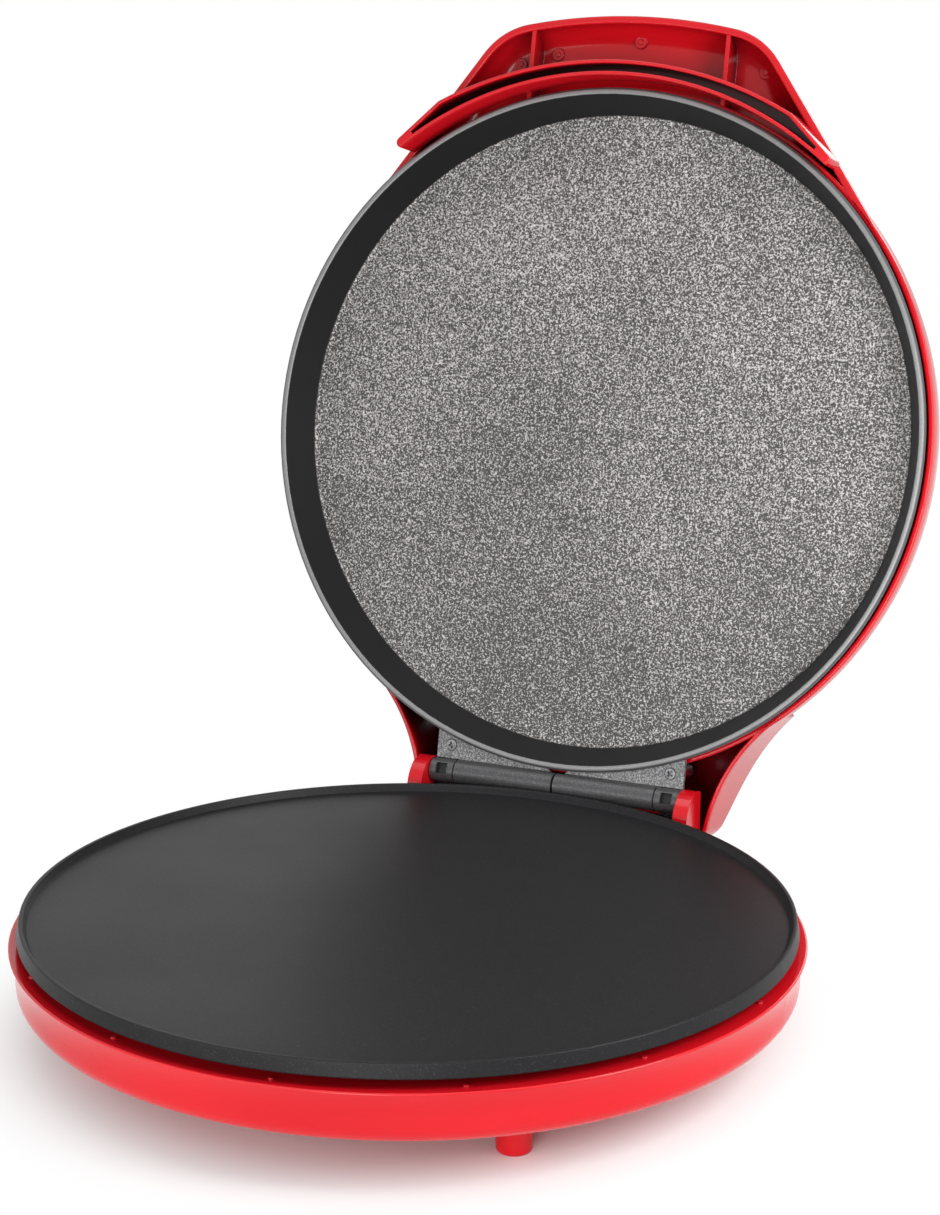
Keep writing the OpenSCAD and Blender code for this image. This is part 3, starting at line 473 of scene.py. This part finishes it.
blackRubber = dict(paleCeramic, colour=(0.02, 0.02, 0.02, 1), stain=(0.035, 0.035, 0.035, 1), roughness=0.6)


def makeStained(name, settings):
    finish = Finish(name)
    place = finish.place()
    if "stretch" in settings:
        place = finish.vector("MULTIPLY", place, settings["stretch"])
    stains = finish.noise(settings["scale"], settings["detail"], settings["grit"], place)
    shown = finish.step(stains, *settings["range"]) if "range" in settings else stains
    skin = finish.noise(settings["skinScale"], 2) if "skinScale" in settings else stains
    return finish.surface(
        {
            "Base Color": finish.colours(shown, settings["colour"], settings["stain"]),
            "Roughness": settings["roughness"] + settings["roughnessSpread"] * (stains - 0.5),
            "Metallic": settings["metal"],
            "Normal": finish.bump(skin, settings["skinDepth"], settings["skinStrength"]),
        }
    )


finishes = {
    "red_plastic": makeRedPlastic("glossy red moulding", redPlastic),
    "lower_pan_coating": makeLowerCoating("dark pan coating", lowerCoating),
    "lid_pan_coating": makeLidCoating("grained pan coating", lidCoating),
    "hinge_steel": makeHingeSteel("speckled hinge paint", hingeSteel),
    "screw_steel": makeStained("screw steel", screwSteel),
    "sheet_aluminium": makeStained("rolled aluminium sheet", sheetMetal),
    "element_sheath": makeStained("heating tube sheath", elementSheath),
    "pale_plastic": makeStained("pale heat resisting moulding", paleCeramic),
    "black_rubber": makeStained("black rubber", blackRubber),
}
slotOf = {part["node"]: part["material_slot"] for part in frame["record"]["subparts"]}
for nodeName, nodeObject in frame["nodes"].items():
    for materialSlot in nodeObject.material_slots:
        materialSlot.material = finishes[slotOf[nodeName]]
print("finishes made:", len(finishes))


def arcPoints(centre, radius, start, end, count):
    return [
        (
            centre[0] + radius * math.cos(math.radians(start + (end - start) * i / count)),
            centre[1] + radius * math.sin(math.radians(start + (end - start) * i / count)),
        )
        for i in range(count + 1)
    ]


def mirrored(points):
    # points on the middle line aren't doubled
    return points + [(-x, y) for x, y in reversed(points) if abs(x) > 10 * tiny]


# turns of a rounded lip in radians, from its side to its end
lipTurns = (0, 0.4, 0.8, 1.2, 1.57)


def lipOutside(lip, bottom, turns=lipTurns):
    # (inset, height) down round the outer half of a lip
    return [(lip * (1 - math.cos(a)), bottom + lip * (1 - math.sin(a))) for a in turns]


def lipInside(wall, lip, bottom, turns=lipTurns):
    # and up round its inner half
    return [(wall - lip * (1 - math.sin(a)), bottom + lip * (1 - math.cos(a))) for a in turns]


def meshObject(name, work, matrix, finish, smoothAngle=32):
    # work is in millimetres in the closed pose; matrix takes it to its place
    bmesh.ops.recalc_face_normals(work, faces=work.faces[:])
    mesh = bpy.data.meshes.new(name)
    work.to_mesh(mesh)
    work.free()
    mesh.transform(Matrix.Scale(mm, 4) @ matrix)
    mesh.shade_smooth()
    mesh.set_sharp_from_angle(angle=math.radians(smoothAngle))
    made = bpy.data.objects.new(name, mesh)
    bpy.context.scene.collection.objects.link(made)
    if finish:
        mesh.materials.append(finish)
    return made


def lathe(work, profile, segments):
    # profile of (radius, z) points turned round the Z axis
    rings = []
    for radius, z in profile:
        if radius < tiny:
            rings.append([work.verts.new((0, 0, z))])
            continue
        turns = [2 * math.pi * i / segments for i in range(segments)]
        rings.append([work.verts.new((radius * math.cos(a), radius * math.sin(a), z)) for a in turns])
    for lower, upper in zip(rings, rings[1:]):
        for i in range(segments):
            j = (i + 1) % segments
            corners = [lower[i % len(lower)], lower[j % len(lower)], upper[j % len(upper)], upper[i % len(upper)]]
            corners = list(dict.fromkeys(corners))
            if len(corners) > 2:
                work.faces.new(corners)


def loft(work, levels, crescent=False):
    # closed skin through outlines that have as many points each
    rings = [[work.verts.new(point) for point in level] for level in levels]
    count = len(rings[0])
    for lower, upper in zip(rings, rings[1:]):
        for i in range(count):
            j = (i + 1) % count
            work.faces.new((lower[i], lower[j], upper[j], upper[i]))
    for ring in (rings[0], rings[-1]):
        if not crescent:
            work.faces.new(ring)
            continue
        # across from the front to the inner side, on both halves
        half = count // 2
        for i in range(half // 2):
            work.faces.new((ring[i], ring[i + 1], ring[half - i - 1], ring[half - i]))
            work.faces.new((ring[-i], ring[-i - 1], ring[half + i + 1], ring[half + i]))


def domeProfile(inset):
    wallZ = lid["rimZ"] + lid["upright"]
    shoulderZ = lid["crownZ"] - lid["rise"] - lid["shoulder"]
    shoulderR = lid["radius"] - lid["shoulder"] - (shoulderZ - wallZ) * math.tan(math.radians(lid["draft"]))
    crownR = (shoulderR**2 + lid["rise"] ** 2) / (2 * lid["rise"])
    crownA = math.degrees(math.asin(shoulderR / crownR))
    shoulder = arcPoints(
        (shoulderR, shoulderZ), lid["shoulder"] - inset, lid["draft"], 90 - crownA, lid["shoulderSteps"]
    )
    crown = arcPoints(
        (0, lid["crownZ"] - crownR), crownR - inset, 90 - crownA + lid["seam"], 90, lid["crownSteps"]
    )
    wallR = lid["radius"] - inset
    return [(wallR, wallZ - lid["skirt"]), (wallR, wallZ)] + shoulder + crown


def domeSkin(work):
    lip = lid["lip"]
    outer = domeProfile(0)
    inner = domeProfile(lid["wall"])
    lipZ = lid["rimZ"] + lip
    rimOut = arcPoints((lid["radius"] - lip, lipZ), lip, -90, 0, lid["lipSteps"])
    rimIn = arcPoints((lid["radius"] - lid["wall"] + lip, lipZ), lip, -90, -180, lid["lipSteps"])
    lathe(work, list(reversed(inner)) + list(reversed(rimIn)) + rimOut + outer, lid["segments"])


def domePlug(work):
    # solid inside of the dome, to cut what joins it
    inner = domeProfile(lid["wall"] / 2)
    low = lid["rimZ"] - lid["plugDrop"]
    lathe(work, [(0, low), (lid["radius"] - lid["wall"] / 2, low)] + inner, lid["segments"])


handle = {
    "reach": 32.8,
    "frontRadius": 267,
    "sideAngle": 35.5,
    "cornerRadius": 35,
    "wall": 3.5,
    "edge": 3,
    "roll": 14,
    "root": 12,
    "lip": 0.9,
    "ribX": 48,
    "ribWidth": 2,
    "ribFront": -191.5,
    "ribBack": -120,
    "ribLift": 0.6,
    "ribInset": 1.2,  # of the solid that trims the ribs to the handle's inside
    "ribDrop": 1,
    "cornerSkip": 3,  # degrees from the front's last point to the corner's first
    "frontSteps": 22,
    "cornerSteps": 16,
    "outerSteps": 14,
    "innerSteps": 12,
    "trimSteps": 10,
}


def handleOutline(inset):
    angle = -handle["sideAngle"]
    centre = Vector((0, -(lid["radius"] + handle["reach"]) + handle["frontRadius"]))
    frontR = handle["frontRadius"] - inset
    sideD = lid["radius"] - lid["tuck"] - inset
    corner = handle["cornerRadius"] - inset
    n = Vector((math.cos(math.radians(angle)), math.sin(math.radians(angle))))
    t = Vector((-n.y, n.x))
    reach = frontR - corner
    off = sideD - corner - centre.dot(n)
    c = centre + n * off - t * math.sqrt(reach**2 - off**2)
    start = math.degrees(math.atan2(c.y - centre.y, c.x - centre.x))
    root = n * sideD
    return mirrored(
        arcPoints(centre, frontR, -90, start, handle["frontSteps"])
        + arcPoints(c, corner, start + handle["cornerSkip"], angle, handle["cornerSteps"])
        + [tuple(root), (root.x - handle["root"], root.y + handle["root"])]
    )


def rollLevels(radius, bottom, count):
    return [
        (radius * (1 - math.cos(i * math.pi / 2 / count)), bottom + radius * math.sin(i * math.pi / 2 / count))
        for i in range(count + 1)
    ]


def handleCup(work):
    # outer skin from the top down, a rounded lip, then the inner skin upwards
    edgeZ = lid["rimZ"] + handle["edge"]
    wall, lip = handle["wall"], handle["lip"]
    levels = list(reversed(rollLevels(handle["roll"], edgeZ, handle["outerSteps"])))
    levels += lipOutside(lip, lid["rimZ"])
    levels += lipInside(wall, lip, lid["rimZ"], (0.01,) + lipTurns[1:])
    levels += [(wall + inset, z) for inset, z in rollLevels(handle["roll"] - wall, edgeZ, handle["innerSteps"])]
    loft(work, [[(x, y, z) for x, y in handleOutline(inset)] for inset, z in levels])


shroud = {
    "halfWidth": 72.9,
    "reach": 18.7,
    "fillet": 85,
    "wall": 2,
    "corner": 8,
    "roll": 34,
    "rollRise": 5,
    "lip": 0.7,
    "sink": 1.2,  # how far its roots run into the dome's skin
    "longest": 80,  # way from its edge to where it may meet the dome
    "stride": 0.25,
    "filletSteps": 30,
    "cornerSteps": 12,
    "backSteps": 10,
    "wallSteps": 10,
    "roofSteps": 24,
    "crowding": 1.5,  # rows lie closer to the edge than to the dome
}


def shroudEdge(inset):
    # outline from where it leaves the dome on one side, round the back, to the other side
    cx = shroud["halfWidth"] + shroud["fillet"]
    cy = math.sqrt((lid["radius"] + shroud["fillet"] - lid["tuck"]) ** 2 - cx**2)
    r = shroud["fillet"] + inset
    corner = shroud["corner"] - inset
    backY = hinge["y"] + shroud["reach"] - inset
    cornerY = backY - corner
    cornerX = cx - math.sqrt((r + corner) ** 2 - (cornerY - cy) ** 2)
    touch = math.degrees(math.atan2(cornerY - cy, cornerX - cx))
    start = math.degrees(math.atan2(-cy, -cx))
    touchFull = touch + (360 if touch < 0 else 0)
    touchBack = touch + (180 if touch < 0 else -180)
    return mirrored(
        arcPoints((cx, cy), r, start + 360, touchFull, shroud["filletSteps"])
        + arcPoints((cornerX, cornerY), corner, touchBack, 90, shroud["cornerSteps"])
        + [(cornerX * (1 - i / shroud["backSteps"]), backY) for i in range(1, shroud["backSteps"] + 1)]
    )


def domeHeight(across):
    # height of the dome's outer face at a distance from its axis
    profile = domeProfile(0)
    for (outer, low), (inner, high) in zip(profile[1:], profile[2:]):
        if inner <= across <= outer:
            return low + (high - low) * (outer - across) / max(outer - inner, tiny)
    return profile[-1][1] if across < profile[-1][0] + 1 else 0


def domeRadius(z):
    profile = domeProfile(0)
    for (outer, low), (inner, high) in zip(profile[1:], profile[2:]):
        if low <= z <= high:
            return outer + (inner - outer) * (z - low) / max(high - low, tiny)
    return lid["radius"]


def shroudCup(work):
    # an upright wall under a back that rolls over into the crown; open below
    rollY = hinge["y"] + shroud["reach"] - shroud["roll"]
    rollZ = lid["rimZ"] + shroud["rollRise"]
    bottom, lip = lid["rimZ"], shroud["lip"]

    def roof(y, inset):
        return rollZ + math.sqrt(max((shroud["roll"] - inset) ** 2 - (y - rollY) ** 2, 0))

    def rooted(point):
        # the same height on the dome's skin
        x, y, z = point
        inward = min((domeRadius(z) - shroud["sink"]) / math.hypot(x, y), 1)
        return (x * inward, y * inward, z)

    def rootBelow(edgePoint, inset):
        # the roof runs towards the axis until it is inside the dome
        reach = 0.0
        while reach < shroud["longest"]:
            q = edgePoint * (1 - reach / edgePoint.length)
            inside = q.length < lid["radius"] - shroud["sink"]
            if inside and roof(q.y, inset) < domeHeight(q.length) - shroud["sink"]:
                break
            reach += shroud["stride"]
        return q

    def skin(inset, lipLevels):
        edge = [Vector(point) for point in shroudEdge(inset)]
        foot = lipLevels[-1][1]
        rows = [[(x, y, z) for x, y in shroudEdge(spread)] for spread, z in lipLevels]
        wallSteps, roofSteps = shroud["wallSteps"], shroud["roofSteps"]
        for i in range(1, wallSteps + 1):
            rows.append([(p.x, p.y, foot + (roof(p.y, inset) - foot) * i / wallSteps) for p in edge])
        ends = [rootBelow(p, inset) for p in edge]
        for i in range(1, roofSteps + 1):
            row = [p.lerp(q, (i / roofSteps) ** shroud["crowding"]) for p, q in zip(edge, ends)]
            rows.append([(q.x, q.y, roof(q.y, inset)) for q in row])
        return [[rooted(row[0])] + row + [rooted(row[-1])] for row in rows]

    outer = skin(0, list(reversed(lipOutside(lip, bottom))))
    inner = skin(shroud["wall"], lipInside(shroud["wall"], lip, bottom))
    rows = list(reversed(outer)) + inner
    rings = [[work.verts.new(point) for point in row] for row in rows]
    for lower, upper in zip(rings, rings[1:]):
        for i in range(len(lower) - 1):
            work.faces.new((lower[i], lower[i + 1], upper[i + 1], upper[i]))


def box(work, low, high):
    made = bmesh.ops.create_cube(work, size=1)["verts"]
    for vertex in made:
        vertex.co = Vector([low[k] + (vertex.co[k] + 0.5) * (high[k] - low[k]) for k in range(3)])


def peg(work, centre, radius, low, high, segments):
    first = len(work.verts)
    lathe(work, [(0, low), (radius, low), (radius, high), (0, high)], segments)
    work.verts.ensure_lookup_table()
    for vertex in work.verts[first:]:
        vertex.co += Vector((centre[0], centre[1], 0))


def cutBy(target, cutter, operation="DIFFERENCE"):
    # a boolean whose result replaces the target's mesh
    change = target.modifiers.new("cut", "BOOLEAN")
    change.object = cutter
    change.operation = operation
    change.solver = "EXACT"
    graph = bpy.context.evaluated_depsgraph_get()
    mesh = bpy.data.meshes.new_from_object(target.evaluated_get(graph))
    target.modifiers.clear()
    target.data = mesh


def plain(name, builder):
    work = bmesh.new()
    builder(work)
    return meshObject(name, work, Matrix(), None)


def drop(*objects):
    for one in objects:
        bpy.data.objects.remove(one)


marks = {  # left by the mould's ejectors: places with the height of each mark's face
    "places": ((-39.5, -177.4, 73.3), (-58, -172.2, 73.3), (1.7, -184, 72.8), (63.5, -171.6, 73.6)),
    "radius": 2.9,
    "core": 1.2,
    "coreLift": 0.6,
    "high": 76,
}
posts = {"x": 55.1, "y": 154.6, "radius": 4.2, "low": 57.4, "high": 78}
clips = {"inner": 157.5, "outer": 160, "halfWidth": 2.5, "height": 2, "turn": 12.2}


def turnedBox(work, low, high, turn):
    first = len(work.verts)
    box(work, low, high)
    work.verts.ensure_lookup_table()
    for vertex in work.verts[first:]:
        vertex.co = turn @ vertex.co


def buildLidShell():
    # the handle and its ribs are cut by the inside of the dome, the shroud's roots run into the dome's skin, then
    # all is swung open
    plug = plain("plug", domePlug)
    grip = plain("grip", handleCup)
    cover = plain("cover", shroudCup)

    def ribs(work):
        top = lid["rimZ"] + handle["edge"] + handle["roll"] - handle["wall"] / 2
        for side in (-1, 1):
            x = side * handle["ribX"]
            half = handle["ribWidth"] / 2
            low = lid["rimZ"] + handle["ribLift"]
            box(work, (x - half, handle["ribFront"], low), (x + half, handle["ribBack"], top))

    ribPair = plain("ribPair", ribs)
    cutBy(ribPair, plug)

    def handleSolid(work):
        edgeZ = lid["rimZ"] + handle["edge"]
        gap, drop = handle["ribInset"], handle["ribDrop"]
        roll = rollLevels(handle["roll"], edgeZ, handle["trimSteps"])
        levels = [(gap, lid["rimZ"])] + [(gap + inset, z - drop) for inset, z in roll]
        loft(work, [[(x, y, z) for x, y in handleOutline(inset)] for inset, z in levels])

    solid = plain("solid", handleSolid)
    cutBy(ribPair, solid, "INTERSECT")
    cutBy(grip, plug)

    work = bmesh.new()
    domeSkin(work)
    for x, y, low in marks["places"]:
        peg(work, (x, y), marks["radius"], low, marks["high"], 32)
        peg(work, (x, y), marks["core"], low - marks["coreLift"], marks["high"], 20)
    for side in (-1, 1):
        peg(work, (side * posts["x"], posts["y"]), posts["radius"], posts["low"], posts["high"], 40)
        turn = Matrix.Rotation(math.radians(-90 + side * clips["turn"]), 4, "Z")
        low = (clips["inner"], -clips["halfWidth"], lid["rimZ"])
        high = (clips["outer"], clips["halfWidth"], lid["rimZ"] + clips["height"])
        turnedBox(work, low, high, turn)
    bmesh.ops.recalc_face_normals(work, faces=work.faces[:])
    for part in (grip, cover, ribPair):
        part.data.transform(Matrix.Scale(1 / mm, 4))
        work.from_mesh(part.data)
    drop(plug, grip, cover, ribPair, solid)
    shell = meshObject("lidShell", work, swingMatrix, finishes["red_plastic"], lid["smoothAngle"])
    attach(shell, "lid")
    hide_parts("lid_housing")


buildLidShell()
print("lid shell built")

visor = {
    "low": 43,
    "web": 59,
    "innerRadius": 163.9,
    "frontRadius": 181.5,
    "frontY": -171,
    "halfAngle": 38.7,
    "noseRadius": 2.6,
    "noseRing": 165.5,
    "noseTurn": 5,
    "wall": 1.8,
    "solidAngle": 2.3,
    "lip": 0.75,
    "skip": 0.3,  # degrees from the nose's last point to the inner side's first
    "arcSteps": 60,
    "noseSteps": 13,
    "slotSteps": 7,
    "smoothAngle": 35,
}


def visorEnd(inset):
    # where the slanted end face meets the front, and the face's outward direction
    a = math.radians(-90 + visor["halfAngle"])
    nose = Vector((math.cos(a), math.sin(a))) * visor["noseRing"]
    turned = a + math.radians(visor["noseTurn"])
    n = Vector((math.cos(turned), math.sin(turned)))
    centre = Vector((0, visor["frontY"] + visor["frontRadius"]))
    radius = visor["frontRadius"] - inset
    gap = visor["noseRadius"] - inset + (nose - centre).dot(n)
    t = Vector((n.y, -n.x))
    along = math.sqrt(radius**2 - gap**2)
    return nose, n, centre, radius, centre + n * gap + t * along


def visorOuter(inset):
    nose, n, centre, radius, corner = visorEnd(inset)
    start = math.degrees(math.atan2(corner.y - centre.y, corner.x - centre.x))
    ring = visor["innerRadius"] + inset
    small = visor["noseRadius"] - inset
    reach = visor["noseRing"]
    # angle at the nose's centre between the way to the axis and the inner face
    spread = math.degrees(math.acos((reach**2 + small**2 - ring**2) / (2 * reach * small)))
    first = math.degrees(math.atan2(n.y, n.x))
    last = -90 + visor["halfAngle"] + 180 - spread
    end = nose + Vector((math.cos(math.radians(last)), math.sin(math.radians(last)))) * small
    inner = math.degrees(math.atan2(end.y, end.x))
    return mirrored(
        arcPoints(centre, radius, -90, start, visor["arcSteps"])
        + arcPoints(nose, small, first, last, visor["noseSteps"])
        + arcPoints((0, 0), ring, inner - visor["skip"], -90, visor["arcSteps"])
    )


def visorSlot(grow):
    # the slot's outline, grown by the rounding of its lip
    inset = visor["wall"] - grow
    nose, n, centre, radius, corner = visorEnd(inset)
    half = math.radians(visor["halfAngle"] - visor["solidAngle"]) + grow / visor["noseRing"]
    ring = visor["innerRadius"] + inset
    side = Vector((math.sin(half), -math.cos(half)))
    # from the front corner along the slanted face, then straight in to the inner side
    turn = side * (visor["noseRadius"] - inset + nose.dot(n)) / side.dot(n)
    low = side * ring
    shares = [i / visor["slotSteps"] for i in range(1, visor["slotSteps"] + 1)]
    cut = [corner.lerp(turn, share) for share in shares] + [turn.lerp(low, share) for share in shares]
    start = math.degrees(math.atan2(corner.y - centre.y, corner.x - centre.x))
    inner = math.degrees(math.atan2(low.y, low.x))
    return mirrored(
        arcPoints(centre, radius, -90, start, visor["arcSteps"])
        + [tuple(point) for point in cut]
        + arcPoints((0, 0), ring, inner, -90, visor["arcSteps"])
    )


def buildVisor():
    lip, low = visor["lip"], visor["low"]
    levels = [(visorOuter(0), lid["rimZ"])]
    levels += [(visorOuter(inset), z) for inset, z in lipOutside(lip, low)]
    levels += [(visorSlot(-inset), z) for inset, z in lipInside(0, lip, low)]
    levels += [(visorSlot(0), visor["web"])]
    work = bmesh.new()
    loft(work, [[(x, y, z) for x, y in outline] for outline, z in levels], True)
    shell = meshObject("visorShell", work, swingMatrix, finishes["red_plastic"], visor["smoothAngle"])
    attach(shell, "lid")
    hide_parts("lid_visor")


buildVisor()
print("visor built")

screw = {
    "shankRadius": 1.7,
    "headRadius": 3,
    "crossLength": 3.5,
    "crossWidth": 0.95,
    "crossDepth": 1.5,
    "sinkGap": 0.35,  # between a countersunk head and the edge of its hole
    "sinkDepth": 1.5,  # height of a countersunk head
    "sinkEdge": 0.2,  # flat and height of the head's broken edge
    "sinkTaper": 0.05,
    "panHeight": 1.8,
    "panSide": 0.35,  # share of a pan head's height below its dome
    "panTurns": (0, 0.3, 0.6, 0.9, 1.2, 1.45),
    "segments": 40,
    "smoothAngle": 30,
}


def screwSolid(shank, sunk):
    # stands up along Z from the face it holds, with a cross recess in its head
    r, headR = screw["shankRadius"], screw["headRadius"]
    if sunk:
        headR -= screw["sinkGap"]
        edge = screw["sinkEdge"]
        head = [(headR - screw["sinkTaper"], -edge), (headR - edge, 0), (0, 0)]
        profile = [(0, -shank), (r, -shank), (r, -screw["sinkDepth"])] + head
        top = 0
    else:
        top = screw["panHeight"]
        side = screw["panSide"]
        dome = [(headR * math.cos(a), top * (side + (1 - side) * math.sin(a))) for a in screw["panTurns"]]
        profile = [(0, -shank), (r, -shank), (r, 0), (headR, 0)] + dome + [(0, top)]
    body = plain("body", lambda work: lathe(work, profile, screw["segments"]))

    def cross(work):
        levels = []
        for z, reach in ((top - screw["crossDepth"], 0.5), (top + 0.4, 1)):
            half, wide = reach * screw["crossLength"] / 2, screw["crossWidth"] / 2
            level = []
            for turned in range(4):
                turn = Matrix.Rotation(math.pi / 2 * turned, 3, "Z")
                level += [turn @ Vector(point) for point in ((half, -wide, z), (half, wide, z), (wide, wide, z))]
            levels.append(level)
        loft(work, levels)

    cutter = plain("cutter", cross)
    cutBy(body, cutter)
    drop(cutter)
    return body


def buildScrews(name, node, ridden, shank, sunk, places, matrix=Matrix()):
    # places are (x, y, z, turn of the recess, 1 up or -1 down)
    body = screwSolid(shank, sunk)
    body.data.transform(Matrix.Scale(1 / mm, 4))
    work = bmesh.new()
    for x, y, z, turned, way in places:
        first = len(work.verts)
        work.from_mesh(body.data)
        work.verts.ensure_lookup_table()
        flip = Matrix.Identity(4) if way > 0 else Matrix.Rotation(math.pi, 4, "X")
        put = Matrix.Translation((x, y, z)) @ flip @ Matrix.Rotation(math.radians(turned), 4, "Z")
        bmesh.ops.transform(work, matrix=put, verts=work.verts[first:])
    drop(body)
    made = meshObject(name, work, matrix, finishes["screw_steel"], screw["smoothAngle"])
    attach(made, ridden)
    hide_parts(node)


coverScrews = {"ring": 144.5, "z": 20.4, "firstAngle": 30, "count": 6, "shank": 9, "turn": 25, "turnStep": 41}
lidLeafScrews = {"z": 55.4, "shank": 9, "turns": (18, 52)}
baseLeafScrews = {"x": 30, "y": 164.8, "z": 44.5, "shank": 6, "turns": (30, 66)}


def buildAllScrews():
    placed = []
    for i in range(coverScrews["count"]):
        a = math.radians(coverScrews["firstAngle"] + 360 / coverScrews["count"] * i)
        x, y = coverScrews["ring"] * math.cos(a), coverScrews["ring"] * math.sin(a)
        placed.append((x, y, coverScrews["z"], coverScrews["turn"] + coverScrews["turnStep"] * i, -1))
    left, right = lidLeafScrews["turns"]
    lidPlaces = [
        (-posts["x"], posts["y"], lidLeafScrews["z"], left, -1),
        (posts["x"], posts["y"], lidLeafScrews["z"], right, -1),
    ]
    left, right = baseLeafScrews["turns"]
    x, y, z = (baseLeafScrews[key] for key in "xyz")
    basePlaces = [(-x, y, z, left, 1), (x, y, z, right, 1)]
    shank = lidLeafScrews["shank"]
    buildScrews("lidLeafScrews", "lid_leaf_screws", "lid", shank, True, lidPlaces, swingMatrix)
    buildScrews("baseLeafScrews", "base_leaf_screws", "base", baseLeafScrews["shank"], True, basePlaces)
    buildScrews("coverScrews", "cover_screws", "base", coverScrews["shank"], False, placed)


buildAllScrews()
print("screws built")


# camera at the photograph's place: position in metres, lens for a 36 mm sensor on the long side
camera = {
    "place": (0.42471, -0.94282, 0.444),
    "azimuth": 22.9,
    "pitch": 14.39,
    "roll": 0.39,
    "lens": 78.573,
    "sensor": 36,
    "clip": (0.05, 60),
}


def makeCamera():
    az, el, roll = (math.radians(camera[key]) for key in ("azimuth", "pitch", "roll"))
    forward = Vector((-math.sin(az) * math.cos(el), math.cos(az) * math.cos(el), -math.sin(el)))
    right = Vector((math.cos(az), math.sin(az), 0))
    up = right.cross(forward)
    across = right * math.cos(roll) + up * math.sin(roll)
    upward = -right * math.sin(roll) + up * math.cos(roll)
    data = bpy.data.cameras.new("photoCamera")
    data.lens = camera["lens"]
    data.sensor_width = camera["sensor"]
    data.clip_start, data.clip_end = camera["clip"]
    made = bpy.data.objects.new("photoCamera", data)
    bpy.context.scene.collection.objects.link(made)
    turned = Matrix((across, upward, -forward)).transposed().to_4x4()
    made.matrix_world = Matrix.Translation(camera["place"]) @ turned
    bpy.context.scene.camera = made


makeCamera()

# places and sizes in metres, powers in watts
studio = {
    "world": 0.22,
    "floor": (0.88, 0.88, 0.88, 1),
    "floorHalf": 20,
    "floorRoughness": 0.9,
    "floorSpecular": 0.1,
    "fadeStart": 0.12,  # where the table begins to fade into the white around it
    "fadeEnd": 0.2,
    "aim": (0, 0.05, 0.15),
    "front": {"place": (-0.05, -0.52, 0.15), "size": (0.8, 0.18), "power": 1.5},
    "right": {"place": (0.46, -0.08, 0.34), "size": (0.2, 0.36), "power": 2.5},
    "camera": {"place": (0.35, -1.8, 0.35), "size": (0.5, 0.6), "power": 9},
    "back": {"place": (0.2, 2.2, 0.9), "size": (1.2, 0.8), "power": 6},
    "top": {"place": (0.0, 0.0, 2.0), "size": (1.8, 1.2), "power": 14},
}


def makeLamp(name, settings):
    data = bpy.data.lights.new(name, "AREA")
    data.shape = "RECTANGLE"
    data.size, data.size_y = settings["size"]
    data.energy = settings["power"]
    made = bpy.data.objects.new(name, data)
    bpy.context.scene.collection.objects.link(made)
    made.location = settings["place"]
    aim = Vector(studio["aim"]) - Vector(settings["place"])
    made.rotation_euler = aim.to_track_quat("-Z", "Y").to_euler()
    made.visible_camera = False


def makeStudio():
    for name in ("front", "right", "camera", "back", "top"):
        makeLamp(name + "Lamp", studio[name])
    world = bpy.data.worlds.new("studio")
    bpy.context.scene.world = world
    sky = Finish(world)
    level = sky.shownRays()
    sky.surface({"Color": (1, 1, 1, 1), "Strength": studio["world"] + (1 - studio["world"]) * level})

    finish = Finish("white table")
    rough, specular = studio["floorRoughness"], studio["floorSpecular"]
    finish.surface({"Base Color": studio["floor"], "Roughness": rough, "Specular IOR Level": specular})
    distance = finish.vector("LENGTH", finish.place(), out="Value")
    far = finish.step(distance, studio["fadeStart"], studio["fadeEnd"])
    glow = finish.node("ShaderNodeEmission", None, {"Color": (1, 1, 1, 1), "Strength": 1.0})
    matt = Wire(finish, finish.shader.outputs[0])
    shown = finish.node("ShaderNodeMixShader", None, {0: far * finish.shownRays(), 1: matt, 2: glow})
    finish.feed(finish.tree.nodes["Material Output"].inputs["Surface"], shown)
    work = bmesh.new()
    bmesh.ops.create_grid(work, x_segments=1, y_segments=1, size=studio["floorHalf"] / mm)
    floor = meshObject("table", work, Matrix(), finish.owner)


makeStudio()
bpy.context.scene.view_settings.view_transform = "Standard"
print("studio set")
